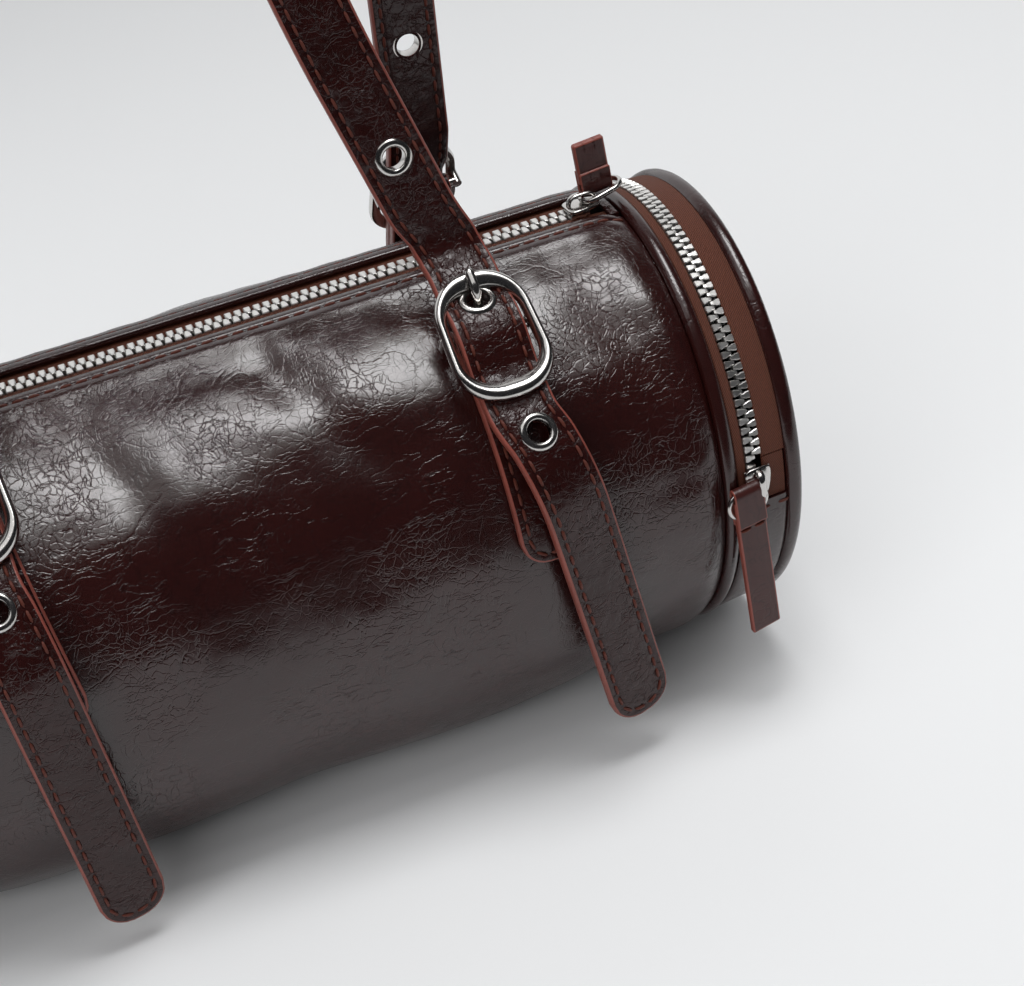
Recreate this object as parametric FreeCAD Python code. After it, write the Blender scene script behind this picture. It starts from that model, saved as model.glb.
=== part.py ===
"""Barrel bag with twin buckled handles, a top zip and a zipped end pocket."""
import FreeCAD
import Part
import math
import os

# All lengths are in millimetres. X runs along the bag to the pocket end,
# Y to the back and Z up. The origin is the middle of the face the bag rests on.

# Main body
BAG_RADIUS = 75.0            # outside of the main panel
BAG_LENGTH = 316.0           # between the middles of the two end piping rings
POCKET_DEPTH = 21.2          # from the inner piping ring to the outer one
REST_WIDTH = 36.0            # the flat that the soft body makes on a table
PANEL_T = 2.2                # leather with its lining
GAP = 0.3                    # clear gap between pieces that only meet
RING_LIFT = 0.3              # piping is pressed flat this far above the table

# Piping and ends
PIPING_D = 5.6               # outer rings
INNER_PIPING_D = 5.0         # ring between body and pocket
PIPING_DROP = 0.8            # top of the piping under the main panel's surface
GUSSET_DROP = 2.2            # pocket side wall under the main panel's surface

# Zips, a medium metal one, the same chain on both
TOOTH_PITCH = 3.0
TOOTH_WIDTH = 1.3            # along the chain
TOOTH_HEIGHT = 2.4
TOOTH_REACH = 2.7            # from the tape's edge to the middle of the chain
TOOTH_BITE = 0.5             # top zip, past the middle into the other row
TAPE_T = 0.9
MOUTH_WIDTH = 17.0           # between the folded edges over the top zip
MOUTH_END = 1.2              # leather left between the mouth and the end seam
TAPE_TUCK = 5.0              # tape hidden under each folded edge
CHAIN_OFFSET = 8.0           # pocket chain from the inner piping ring
ZIP_TAB_LENGTH = 2.4         # leather end tab at each end of the top zip
ZIP_TAB_T = 1.4

# Zip sliders, rings and pulls
SLIDER_LENGTH = 11.0
SLIDER_WIDTH = 8.8
SLIDER_PLATE_T = 1.3
SLIDER_LIP_T = 1.0
BRIDGE_WIDTH = 2.2
BRIDGE_T = 1.3
BRIDGE_CLEAR = 2.5           # height of the hole under the bridge
BRIDGE_POST = 1.6
RING_LONG = 14.4             # outside of the oval pull ring
RING_SHORT = 9.4
RING_WIRE_D = 1.7
PULL_WIDTH = 10.0
PULL_T = 2.6
PULL_EYE_WALL = 0.9
TOP_PULL_LENGTH = 19.0
POCKET_PULL_LENGTH = 45.0
POCKET_RING_SHIFT = 1.9      # the pocket ring hangs off to the body side

# Straps, anchor tabs and buckles
STRAP_SPACING = 157.0        # between the middles of the two front straps
BACK_STRAP_SPACING = 177.0   # the same at the back
STRAP_WIDTH = 20.5
STRAP_T = 3.2
TAB_T = 1.8                  # one layer of the folded anchor tab
BAR_D = 3.0                  # buckle centre bar
FRAME_LENGTH = 42.0
FRAME_WIDTH = 30.0
FRAME_T = 3.6
FRAME_END_WALL = 5.0
FRAME_SIDE_WALL = 4.0
FRAME_BEVEL = 0.9
WINDOW_ROUND = 6.0           # corners of the frame's window
POST_WIDTH = 3.2             # drop posts that carry the centre bar
HINGE_REACH = 4.0            # strap lies flat this far past the frame
SADDLE_HALF = 3.0            # flat top of the strap over the centre bar
SADDLE_CLEAR = 3.0           # strap lies flat this far before the frame's end bar
SADDLE_BEND = 5.0            # bend radius of the strap in the buckle
PRONG_D = 2.4
PRONG_SLOT_CLEAR = 0.6
PRONG_KNEE_BEFORE = 2.5      # first bend of the prong, before the eyelet's middle
PRONG_KNEE_RISE = 1.2
PRONG_CREST_PAST = 4.0       # second bend, past the eyelet's middle
PRONG_TIP_PAST = 1.0         # tip past the middle of the frame's top bar
PRONG_BEND = 3.0
EYELET_OUTER_D = 11.6
EYELET_INNER_D = 6.6
EYELET_WALL = 0.5
EYELET_FLANGE_T = 0.7
EYELET_PITCH = 50.0          # from the buckled eyelet up to the handle's
TAIL_EYELET_PITCH = 42.5     # from the buckled eyelet down to the tail's
EYELET_SHARE = 0.5           # buckled eyelet, as a share of the ramp above the centre bar
TAIL_FREE = 118.0            # from the lower bend to the tip
TAIL_TIP_ROUND = 9.0
TAB_TIP_ROUND = 8.0
HANDLE_LENGTH = 420.0        # between the two bends over the buckles
HANDLE_BEND = 9.0            # bend radius where the strap leaves the buckle
FRONT_TAB_RUN = 6.6          # tab clear of the bag before the bar, front
BACK_TAB_RUN = 36.0          # the same at the back, pulled up by the handle

# Angles in degrees, from the top of the bag towards the front
TAB_END_ANGLE = 85.0
FRONT_LIFT_ANGLE = 38.0
BACK_LIFT_ANGLE = 60.0
FRONT_HANDLE_LEAN = 16.0     # legs lean towards each other
BACK_HANDLE_LEAN = -2.0      # and a little apart at the back
HANDLE_TILT = 5.0            # handles lean over the bag
FRONT_RIGHT_TAIL_LEAN = 12.5
FRONT_LEFT_TAIL_LEAN = 7.5
BACK_TAIL_LEAN = 2.0
SLIDER_ANGLE = 86.0          # pocket slider when closed
LID_ANGLE = 80.5             # where the pocket lid meets the fixed part
GUSSET_ANGLE = 92.0          # where the pocket zip ends
TOP_RING_TILT = 14.0

# Hand-chosen shares of the handle's half length
TWIST_START_SHARE = 0.52
LEG_STATION_SHARES = [0.06, 0.3, 0.55, 0.8, 1.0]
ARCH_STATIONS = 10
BEND_STATIONS = 4

# Derived places
HALF_LENGTH = BAG_LENGTH / 2
AXIS_Z = math.sqrt(BAG_RADIUS ** 2 - (REST_WIDTH / 2) ** 2)
INNER_X = HALF_LENGTH - POCKET_DEPTH
CHAIN_X = INNER_X + CHAIN_OFFSET
BODY_LEFT = -HALF_LENGTH + PIPING_D / 2 + GAP
BODY_RIGHT = INNER_X - INNER_PIPING_D / 2 - GAP
MOUTH_LEFT = BODY_LEFT + MOUTH_END
MOUTH_RIGHT = BODY_RIGHT - MOUTH_END
POCKET_LEFT = INNER_X + INNER_PIPING_D / 2 + GAP
POCKET_RIGHT = HALF_LENGTH - PIPING_D / 2 - GAP
GUSSET_R = BAG_RADIUS - GUSSET_DROP
RING_R = BAG_RADIUS - PIPING_DROP - PIPING_D / 2
INNER_RING_R = BAG_RADIUS - PIPING_DROP - INNER_PIPING_D / 2
TAPE_R = BAG_RADIUS - PANEL_T - GAP
TEETH_MID_R = TAPE_R - TAPE_T / 2
POCKET_TEETH_MID_R = GUSSET_R - TAPE_T / 2
LID_Z = AXIS_Z + BAG_RADIUS * math.cos(math.radians(LID_ANGLE))
STRAP_X = STRAP_SPACING / 2
BACK_STRAP_X = BACK_STRAP_SPACING / 2
TAB_LOW = GAP
TAB_HIGH = GAP + 2 * TAB_T
BAR_N = TAB_LOW + TAB_T + GAP + BAR_D / 2
WRAP_R = BAR_D / 2 + GAP + TAB_T
STRAP_LOW_N = TAB_HIGH + GAP + STRAP_T / 2
STRAP_TOP_N = BAR_N + WRAP_R + GAP + STRAP_T / 2
FRAME_LOW_N = STRAP_LOW_N + STRAP_T / 2 + GAP
FRAME_TOP_N = FRAME_LOW_N + FRAME_T
HINGE_AT = FRAME_LENGTH / 2 + HINGE_REACH
SADDLE_FOOT = FRAME_LENGTH / 2 - FRAME_END_WALL - SADDLE_CLEAR
EYELET_AT = SADDLE_HALF + (SADDLE_FOOT - SADDLE_HALF) * EYELET_SHARE
SLIDER_X = MOUTH_RIGHT - ZIP_TAB_LENGTH - 2 * GAP - SLIDER_LENGTH / 2

V = FreeCAD.Vector
X_AXIS = V(1, 0, 0)
Y_AXIS = V(0, 1, 0)
Z_AXIS = V(0, 0, 1)
AXIS_POINT = V(0, 0, AXIS_Z)


def box(x0, x1, y0, y1, z0, z1):
    """A box from its lowest to its highest corner."""
    return Part.makeBox(x1 - x0, y1 - y0, z1 - z0, V(x0, y0, z0))


def about_bag(shape, angle):
    """Turn a shape about the bag's axis, from the top towards the front."""
    turned = shape.copy()
    turned.rotate(AXIS_POINT, X_AXIS, angle)
    return turned


def drum(radius, x0, x1):
    """A solid cylinder on the bag's axis."""
    return Part.makeCylinder(radius, x1 - x0, V(x0, 0, AXIS_Z), X_AXIS)


def arc_band(r0, r1, x0, x1, start, end):
    """A curved band round the bag's axis between two angles."""
    corners = [V(x0, 0, AXIS_Z + r0), V(x1, 0, AXIS_Z + r0),
               V(x1, 0, AXIS_Z + r1), V(x0, 0, AXIS_Z + r1)]
    face = Part.Face(Part.makePolygon(corners + corners[:1]))
    return about_bag(face, start).revolve(AXIS_POINT, X_AXIS, end - start)


def above(shape, height):
    """The part of a shape that lies over a height."""
    size = shape.BoundBox.DiagonalLength
    cover = box(-size, size, -size, size, height, height + size)
    cover.translate(V(shape.BoundBox.Center.x, 0, 0))
    return shape.common(cover)


def below(shape, height):
    """The part of a shape that lies under a height."""
    size = shape.BoundBox.DiagonalLength
    cover = box(-size, size, -size, size, height - size, height)
    cover.translate(V(shape.BoundBox.Center.x, 0, 0))
    return shape.common(cover)


def body_panel():
    """Main leather tube, flat where it rests, open along the top."""
    shell = above(drum(BAG_RADIUS, BODY_LEFT, BODY_RIGHT), 0)
    hollow = above(drum(BAG_RADIUS - PANEL_T, BODY_LEFT, BODY_RIGHT), PANEL_T)
    mouth = box(MOUTH_LEFT, MOUTH_RIGHT, -MOUTH_WIDTH / 2, MOUTH_WIDTH / 2,
                AXIS_Z, AXIS_Z + 2 * BAG_RADIUS)
    return shell.cut(hollow).cut(mouth)


def piping(x, ring_r, diameter):
    """A round piping ring, pressed flat against the table."""
    ring = Part.makeTorus(ring_r, diameter / 2, V(x, 0, AXIS_Z), X_AXIS)
    return above(ring, RING_LIFT)


def end_disc(x, ring_r, diameter):
    """A flat leather end inside a piping ring."""
    radius = ring_r - diameter / 2 - GAP
    return drum(radius, x - PANEL_T / 2, x + PANEL_T / 2)


def pocket_tape_fixed():
    """Zip tape on the body side, with the ends of both tapes."""
    low, high = GUSSET_R - TAPE_T, GUSSET_R
    edge = CHAIN_X - TOOTH_REACH
    long = arc_band(low, high, POCKET_LEFT, edge, -GUSSET_ANGLE, GUSSET_ANGLE)
    front = arc_band(low, high, POCKET_LEFT, POCKET_RIGHT, LID_ANGLE, GUSSET_ANGLE)
    back = arc_band(low, high, POCKET_LEFT, POCKET_RIGHT, -GUSSET_ANGLE, -LID_ANGLE)
    channel = arc_band(low - GAP, high + GAP, edge, CHAIN_X + TOOTH_REACH, -SLIDER_ANGLE, SLIDER_ANGLE)
    return long.fuse([front, back]).cut(channel).removeSplitter()


def pocket_tape_lid():
    """Zip tape that swings out with the pocket's lid."""
    gap_angle = math.degrees(GAP / GUSSET_R)
    band = arc_band(GUSSET_R - TAPE_T, GUSSET_R, CHAIN_X + TOOTH_REACH, POCKET_RIGHT,
                    gap_angle - LID_ANGLE, LID_ANGLE - gap_angle)
    return above(band, LID_Z + GAP)


def pocket_gusset():
    """Leather side wall of the pocket, round the bottom."""
    gap_angle = math.degrees(GAP / GUSSET_R)
    start = GUSSET_ANGLE + gap_angle
    band = arc_band(GUSSET_R - PANEL_T, GUSSET_R, POCKET_LEFT, POCKET_RIGHT, start, 2 * 180 - start)
    return above(band, RING_LIFT)


def tooth(radius, bite):
    """One zip tooth at the top of the bag, on the left of a chain at x zero."""
    return box(-TOOTH_REACH, bite, -TOOTH_WIDTH / 2, TOOTH_WIDTH / 2,
               AXIS_Z + radius - TOOTH_HEIGHT / 2, AXIS_Z + radius + TOOTH_HEIGHT / 2)


def pocket_teeth(limit, side):
    """Teeth of one pocket row, out to a limit angle; the rows meet so the lid can swing clear."""
    step = math.degrees(TOOTH_PITCH / POCKET_TEETH_MID_R)
    count = int(2 * limit / step)
    count -= count % 2
    first = -step * (count - 1) / 2
    if side > 0:
        first += step / 2
    teeth = []
    for index in range(count):
        piece = tooth(POCKET_TEETH_MID_R, -GAP / 2)
        if side > 0:
            piece.rotate(V(0, 0, 0), Z_AXIS, 180)
        piece.translate(V(CHAIN_X, 0, 0))
        teeth.append(about_bag(piece, first + step * index))
    return Part.makeCompound(teeth)


def top_teeth(side):
    """Teeth of one row of the top zip; the two rows sit half a pitch apart."""
    length = MOUTH_RIGHT - MOUTH_LEFT - 2 * ZIP_TAB_LENGTH - 2 * TOOTH_PITCH
    count = int(length / TOOTH_PITCH)
    first = (MOUTH_LEFT + MOUTH_RIGHT - count * TOOTH_PITCH) / 2
    shift = TOOTH_PITCH / 2 if side > 0 else 0
    teeth = []
    for index in range(count):
        piece = tooth(TEETH_MID_R, TOOTH_BITE)
        piece.rotate(V(0, 0, 0), Z_AXIS, -90 * side)
        piece.translate(V(first + shift + index * TOOTH_PITCH, 0, 0))
        teeth.append(piece)
    return Part.makeCompound(teeth)


def top_tape(side):
    """One half of the top zip's tape, tucked under the folded leather edge."""
    near = math.degrees(math.asin(TOOTH_REACH / (TAPE_R - TAPE_T)))
    far = math.degrees(math.asin((MOUTH_WIDTH / 2 + TAPE_TUCK) / TAPE_R))
    band = arc_band(TAPE_R - TAPE_T, TAPE_R, MOUTH_LEFT, MOUTH_RIGHT, near, far)
    if side > 0:
        band.rotate(V(0, 0, 0), Z_AXIS, 180)
        band.translate(V(MOUTH_LEFT + MOUTH_RIGHT, 0, 0))
    return band


def zip_tab(x0):
    """Small leather tab over one end of the top zip."""
    half = math.degrees(math.asin((MOUTH_WIDTH / 2 - GAP) / BAG_RADIUS))
    return arc_band(TAPE_R, TAPE_R + ZIP_TAB_T, x0, x0 + ZIP_TAB_LENGTH, -half, half)


def slider(teeth_mid):
    """Zip slider at the top of the bag, running along X, middle at x zero."""
    sag = BAG_RADIUS - math.sqrt(BAG_RADIUS ** 2 - (SLIDER_LENGTH / 2) ** 2)
    low = AXIS_Z + teeth_mid + TOOTH_HEIGHT / 2 + sag + GAP
    half = SLIDER_LENGTH / 2
    wide = SLIDER_WIDTH / 2
    plate = box(-half, half, -wide, wide, low, low + SLIDER_PLATE_T)
    lip_low = low - TOOTH_HEIGHT / 2 + TAPE_T / 2
    lips = [box(-half, half, wide - SLIDER_LIP_T, wide, lip_low, low + SLIDER_PLATE_T),
            box(-half, half, -wide, SLIDER_LIP_T - wide, lip_low, low + SLIDER_PLATE_T)]
    top = low + SLIDER_PLATE_T
    reach = half - BRIDGE_POST / 2
    arch = box(-reach, reach, -BRIDGE_WIDTH / 2, BRIDGE_WIDTH / 2, top, top + BRIDGE_CLEAR + BRIDGE_T)
    hole = box(BRIDGE_POST - reach, reach - BRIDGE_POST, -BRIDGE_WIDTH, BRIDGE_WIDTH,
               top, top + BRIDGE_CLEAR)
    return plate.fuse(lips + [arch.cut(hole)]).removeSplitter(), top + BRIDGE_CLEAR / 2


def oval_ring():
    """Oval wire ring in the XY plane, long along X, left end at the origin."""
    radius = (RING_SHORT - RING_WIRE_D) / 2
    run = RING_LONG - RING_SHORT
    straight = Part.makeCylinder(RING_WIRE_D / 2, run, V(radius, radius, 0), X_AXIS)
    other = Part.makeCylinder(RING_WIRE_D / 2, run, V(radius, -radius, 0), X_AXIS)
    left = Part.makeTorus(radius, RING_WIRE_D / 2, V(radius, 0, 0), Z_AXIS)
    right = left.copy()
    right.translate(V(run, 0, 0))
    size = RING_LONG
    left = left.common(box(radius - size, radius, -size, size, -size, size))
    right = right.common(box(radius + run, radius + run + size, -size, size, -size, size))
    return left.fuse([straight, other, right]).removeSplitter()


def leather_pull(length):
    """Leather pull hanging down from a bar along X at the origin."""
    bore = RING_WIRE_D / 2 + GAP
    outer = bore + PULL_EYE_WALL
    run = RING_LONG - RING_SHORT
    half = PULL_WIDTH / 2
    eye = Part.makeCylinder(outer, run, V(-run / 2, 0, 0), X_AXIS)
    neck = box(-run / 2, run / 2, -PULL_T / 2, PULL_T / 2, -RING_SHORT / 2, 0)
    strip = box(-half, half, -PULL_T / 2, PULL_T / 2, -length, -outer - RING_WIRE_D)
    hole = Part.makeCylinder(bore, 2 * run, V(-run, 0, 0), X_AXIS)
    return eye.fuse([neck, strip]).cut(hole).removeSplitter()


def top_zip_pull():
    """Slider, ring and pull of the top zip in their closed places."""
    body, bridge_z = slider(TEETH_MID_R)
    body.translate(V(SLIDER_X, 0, 0))
    ring = oval_ring()
    radius = (RING_SHORT - RING_WIRE_D) / 2
    pull = leather_pull(TOP_PULL_LENGTH)
    pull.rotate(V(0, 0, 0), X_AXIS, 180)
    pull.translate(V(RING_LONG / 2 - RING_WIRE_D / 2, radius, 0))
    for piece in (ring, pull):
        piece.rotate(V(0, 0, 0), Y_AXIS, -TOP_RING_TILT)
        piece.translate(V(SLIDER_X, 0, bridge_z))
    return body, ring, pull


def pocket_zip_pull():
    """Slider, ring and pull of the pocket zip, turned to the closed place."""
    body, bridge_z = slider(POCKET_TEETH_MID_R)
    body.rotate(V(0, 0, 0), Z_AXIS, 90)
    body.translate(V(CHAIN_X, 0, 0))
    drop = RING_SHORT - RING_WIRE_D
    ring_x = CHAIN_X - POCKET_RING_SHIFT
    ring = oval_ring()
    ring.translate(V(ring_x - RING_LONG / 2 + RING_WIRE_D / 2, -drop / 2, bridge_z))
    pull = leather_pull(POCKET_PULL_LENGTH)
    pull.rotate(V(0, 0, 0), X_AXIS, -90)
    pull.translate(V(ring_x, -drop, bridge_z))
    return [about_bag(piece, SLIDER_ANGLE) for piece in (body, ring, pull)]


class Side:
    """One side's straps: how the tab leaves the bag and the handle leans."""

    def __init__(self, name, x, lift, run, lean, turn, tail_leans):
        self.name = name
        self.x = x
        self.lift = lift
        self.run = run
        self.lean = lean
        self.turn = turn
        self.tail_leans = tail_leans

    def place(self, shape, x):
        """Move a shape from strap axes, Y along and Z out, to the bag."""
        moved = shape.copy()
        moved.translate(V(x, self.run, AXIS_Z + BAG_RADIUS))
        return self.face(about_bag(moved, self.lift))

    def face(self, shape):
        """Turn a finished front shape to this side of the bag."""
        moved = shape.copy()
        moved.rotate(V(0, 0, 0), Z_AXIS, self.turn)
        return moved

    def point(self, along, out):
        """Y and Z in the bag's axes of a place on the front strap."""
        angle = math.radians(self.lift)
        y, z = self.run + along, BAG_RADIUS + out
        return (y * math.cos(angle) - z * math.sin(angle),
                AXIS_Z + y * math.sin(angle) + z * math.cos(angle))


FRONT = Side("front", STRAP_X, FRONT_LIFT_ANGLE, FRONT_TAB_RUN, FRONT_HANDLE_LEAN, 0,
             {"right": FRONT_RIGHT_TAIL_LEAN, "left": FRONT_LEFT_TAIL_LEAN})
BACK = Side("back", BACK_STRAP_X, BACK_LIFT_ANGLE, BACK_TAB_RUN, BACK_HANDLE_LEAN, 180,
            {"right": -BACK_TAIL_LEAN, "left": BACK_TAIL_LEAN})


def mitred(points, distance):
    """Move a plane path sideways, keeping its corners sharp."""
    moved = []
    for index, point in enumerate(points):
        before = point - points[index - 1] if index else points[1] - point
        after = points[index + 1] - point if index + 1 < len(points) else before
        sides = []
        for step in (before, after):
            length = step.Length
            sides.append(V(0, -step.z / length, step.y / length))
        middle = sides[0] + sides[1]
        moved.append(point + middle * (2 * distance / middle.dot(middle)))
    return moved


def rounded(points, radii):
    """Edges of a plane path whose inner corners are arcs."""
    edges = []
    start = points[0]
    for corner, before, after, radius in zip(points[1:-1], points[:-2], points[2:], radii):
        into = (before - corner).normalize()
        out = (after - corner).normalize()
        half = math.acos(max(-1, min(1, into.dot(out)))) / 2
        reach = radius / math.tan(half)
        bisector = (into + out).normalize()
        centre = corner + bisector * (radius / math.sin(half))
        first, last = corner + into * reach, corner + out * reach
        edges.append(Part.makeLine(start, first))
        edges.append(Part.Arc(first, centre - bisector * radius, last).toShape())
        start = last
    edges.append(Part.makeLine(start, points[-1]))
    return edges


def strap_band(points, radii, width, thickness):
    """A flat strap that follows a path in the YZ plane, middle at x zero."""
    half = thickness / 2
    turns = []
    for corner, before, after in zip(points[1:-1], points[:-2], points[2:]):
        cross = (corner - before).cross(after - corner)
        turns.append(1 if cross.x > 0 else -1)
    upper = rounded(mitred(points, half), [r - half * t for r, t in zip(radii, turns)])
    lower = rounded(mitred(points, -half), [r + half * t for r, t in zip(radii, turns)])
    ends = [Part.makeLine(upper[0].Vertexes[0].Point, lower[0].Vertexes[0].Point),
            Part.makeLine(upper[-1].Vertexes[-1].Point, lower[-1].Vertexes[-1].Point)]
    wire = Part.Wire(Part.__sortEdges__(upper + lower + ends))
    face = Part.Face(wire)
    face.translate(V(-width / 2, 0, 0))
    return face.extrude(V(width, 0, 0))


def saddle_path():
    """Path of the strap through the buckle, from the tail to the handle."""
    low, top = STRAP_LOW_N, STRAP_TOP_N
    places = [(-HINGE_AT, low), (-SADDLE_FOOT, low), (-SADDLE_HALF, top),
              (SADDLE_HALF, top), (SADDLE_FOOT, low), (HINGE_AT, low)]
    return [V(0, along, out) for along, out in places]


def eyelet_frame():
    """Place and slope of the buckled eyelet on the strap's inner ramp."""
    slope = math.atan2(STRAP_TOP_N - STRAP_LOW_N, SADDLE_FOOT - SADDLE_HALF)
    out = STRAP_TOP_N - (EYELET_AT - SADDLE_HALF) * math.tan(slope)
    return V(0, EYELET_AT, out), -math.degrees(slope)


def eyelet():
    """Metal eyelet for a strap in the XY plane; its back flange is pressed in flush."""
    inner, outer = EYELET_INNER_D / 2, EYELET_OUTER_D / 2
    barrel = inner + EYELET_WALL
    low, high = -STRAP_T / 2, STRAP_T / 2
    profile = [V(inner, 0, low), V(outer, 0, low), V(outer, 0, low + EYELET_FLANGE_T),
               V(barrel, 0, low + EYELET_FLANGE_T), V(barrel, 0, high), V(outer, 0, high),
               V(outer, 0, high + EYELET_FLANGE_T), V(inner, 0, high + EYELET_FLANGE_T)]
    face = Part.Face(Part.makePolygon(profile + profile[:1]))
    return face.revolve(V(0, 0, 0), Z_AXIS, 2 * 180)


def eyelet_room():
    """What an eyelet takes out of a strap, its own metal and the hole."""
    radius = EYELET_INNER_D / 2 + EYELET_WALL
    return eyelet().fuse(Part.makeCylinder(radius, 2 * STRAP_T, V(0, 0, -STRAP_T), Z_AXIS))


def seated(shape, spot, slope):
    """Tip a shape about X and move it to a spot on the strap."""
    moved = shape.copy()
    moved.rotate(V(0, 0, 0), X_AXIS, slope)
    moved.translate(spot)
    return moved


def strap_saddle():
    """The stretch of strap held in the buckle."""
    band = strap_band(saddle_path(), [SADDLE_BEND] * 4, STRAP_WIDTH, STRAP_T)
    spot, slope = eyelet_frame()
    return band.cut(seated(eyelet_room(), spot, slope))


def buckled_eyelet():
    """The eyelet that the prong goes through."""
    spot, slope = eyelet_frame()
    return seated(eyelet(), spot, slope)


def buckle_frame():
    """Rounded buckle frame with a dropped centre bar."""
    def plate(length, width, corner, low, high):
        slab = box(-width / 2, width / 2, -length / 2, length / 2, low, high)
        upright = [edge for edge in slab.Edges
                   if abs(edge.Vertexes[0].Z - edge.Vertexes[-1].Z) > FRAME_T / 2]
        return slab.makeFillet(corner, upright)

    corner = FRAME_WIDTH / 2 - FRAME_SIDE_WALL / 2
    body = plate(FRAME_LENGTH, FRAME_WIDTH, corner, FRAME_LOW_N, FRAME_TOP_N)
    rim = [edge for edge in body.Edges
           if all(abs(v.Z - FRAME_TOP_N) < GAP for v in edge.Vertexes)]
    body = body.makeChamfer(FRAME_BEVEL, rim)
    window = plate(FRAME_LENGTH - 2 * FRAME_END_WALL, FRAME_WIDTH - 2 * FRAME_SIDE_WALL,
                   WINDOW_ROUND, FRAME_LOW_N - FRAME_T, FRAME_TOP_N + FRAME_T)
    bar_half = FRAME_WIDTH / 2 - FRAME_SIDE_WALL / 2
    bar = Part.makeCylinder(BAR_D / 2, 2 * bar_half, V(-bar_half, 0, BAR_N), X_AXIS)
    inner = FRAME_WIDTH / 2 - FRAME_SIDE_WALL + GAP
    outer = FRAME_WIDTH / 2 - GAP
    posts = []
    for sign in (-1, 1):
        ends = sorted((sign * inner, sign * outer))
        posts.append(box(ends[0], ends[1], -POST_WIDTH / 2, POST_WIDTH / 2,
                         BAR_N - BAR_D / 2, FRAME_LOW_N + FRAME_T / 2))
    return body.cut(window).fuse([bar] + posts).removeSplitter()


def prong():
    """Buckle prong: a collar on the centre bar and a bent arm to the frame."""
    bore = BAR_D / 2 + GAP
    half = PRONG_D / 2
    collar = Part.makeCylinder(bore + half, PRONG_D, V(-half, 0, BAR_N), X_AXIS)
    tip = FRAME_LENGTH / 2 - FRAME_END_WALL / 2 + PRONG_TIP_PAST
    over = FRAME_TOP_N + GAP + half
    places = [V(0, 0, BAR_N), V(0, EYELET_AT - PRONG_KNEE_BEFORE, BAR_N + PRONG_KNEE_RISE),
              V(0, EYELET_AT + PRONG_CREST_PAST, over), V(0, tip, over)]
    arm = strap_band(places, [PRONG_BEND, PRONG_BEND], PRONG_D, PRONG_D)
    hole = Part.makeCylinder(bore, 2 * PRONG_D, V(-PRONG_D, 0, BAR_N), X_AXIS)
    return collar.fuse(arm).cut(hole).removeSplitter()


def anchor_tab(side):
    """Folded leather tab: round the centre bar, then sewn down the bag."""
    half = STRAP_WIDTH / 2
    loop = Part.makeCylinder(WRAP_R, STRAP_WIDTH, V(-half, 0, BAR_N), X_AXIS)
    run = box(-half, half, -side.run, 0, TAB_LOW, TAB_HIGH)
    bore = Part.makeCylinder(BAR_D / 2 + GAP, 2 * STRAP_WIDTH, V(-STRAP_WIDTH, 0, BAR_N), X_AXIS)
    slot_half = PRONG_D / 2 + PRONG_SLOT_CLEAR
    slot = box(-slot_half, slot_half, -WRAP_R - PRONG_SLOT_CLEAR, 2 * WRAP_R, 0, 2 * BAR_N + WRAP_R)
    band = arc_band(BAG_RADIUS + TAB_LOW, BAG_RADIUS + TAB_HIGH, -half, half,
                    0, TAB_END_ANGLE - side.lift)
    band.translate(V(0, -side.run, -AXIS_Z - BAG_RADIUS))
    tab = loop.fuse([run, band]).cut(bore).cut(slot).removeSplitter()
    low_end = min(vertex.Z for vertex in tab.Vertexes)
    corners = []
    for edge in tab.Edges:
        reach = edge.BoundBox
        if reach.ZMin < low_end + TAB_HIGH and reach.XLength < GAP and edge.Length < TAB_HIGH + GAP:
            corners.append(edge)
    return tab.makeFillet(TAB_TIP_ROUND, corners)


def strap_tail(side, lean):
    """Free end of the strap, over the tab and straight down, with a round tip."""
    radius = BAG_RADIUS + STRAP_LOW_N
    turn = math.radians(90 - side.lift)
    start = V(0, -HINGE_AT - GAP, STRAP_LOW_N)
    spare = V(0, start.y + STRAP_WIDTH / 2, STRAP_LOW_N)
    corner = V(0, -side.run - radius * math.tan(turn / 2), STRAP_LOW_N)
    before = start.y - corner.y
    down = V(0, -math.cos(turn), -math.sin(turn))
    end = corner + down * (TAIL_FREE - before)
    bend = min(radius, before / math.tan(turn / 2)) - STRAP_T
    tail = strap_band([spare, corner, end], [bend], STRAP_WIDTH, STRAP_T)
    corners = []
    for edge in tail.Edges:
        middle = edge.CenterOfMass
        close = V(0, middle.y - end.y, middle.z - end.z).Length
        if close < STRAP_T and edge.Length < STRAP_T + GAP:
            corners.append(edge)
    tail = tail.makeFillet(TAIL_TIP_ROUND, corners)
    past = TAIL_EYELET_PITCH - EYELET_AT - HINGE_AT - before + bend * math.tan(turn / 2)
    angle = max(0, past) / bend
    centre = V(0, corner.y + bend * math.tan(turn / 2), STRAP_LOW_N - bend)
    spot = centre + V(0, -bend * math.sin(angle), bend * math.cos(angle))
    ring = seated(eyelet(), spot, math.degrees(angle))
    tail = tail.cut(seated(eyelet_room(), spot, math.degrees(angle)))
    for piece in (tail, ring):
        piece.rotate(start, Z_AXIS, lean)
    size = tail.BoundBox.DiagonalLength
    return tail.common(box(-size, size, start.y - size, start.y, -size, size)), ring


def handle_leg(side):
    """Leg length and arch radius of a handle of the set length."""
    lean = math.radians(side.lean)
    sweep = math.pi - 2 * lean
    leg = (HANDLE_LENGTH - side.x / math.cos(lean) * sweep) / (2 - math.tan(lean) * sweep)
    return leg, (side.x - leg * math.sin(lean)) / math.cos(lean)


def smooth(value):
    """Ease from 0 to 1."""
    value = max(0, min(1, value))
    return value * value * (3 - 2 * value)


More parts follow.
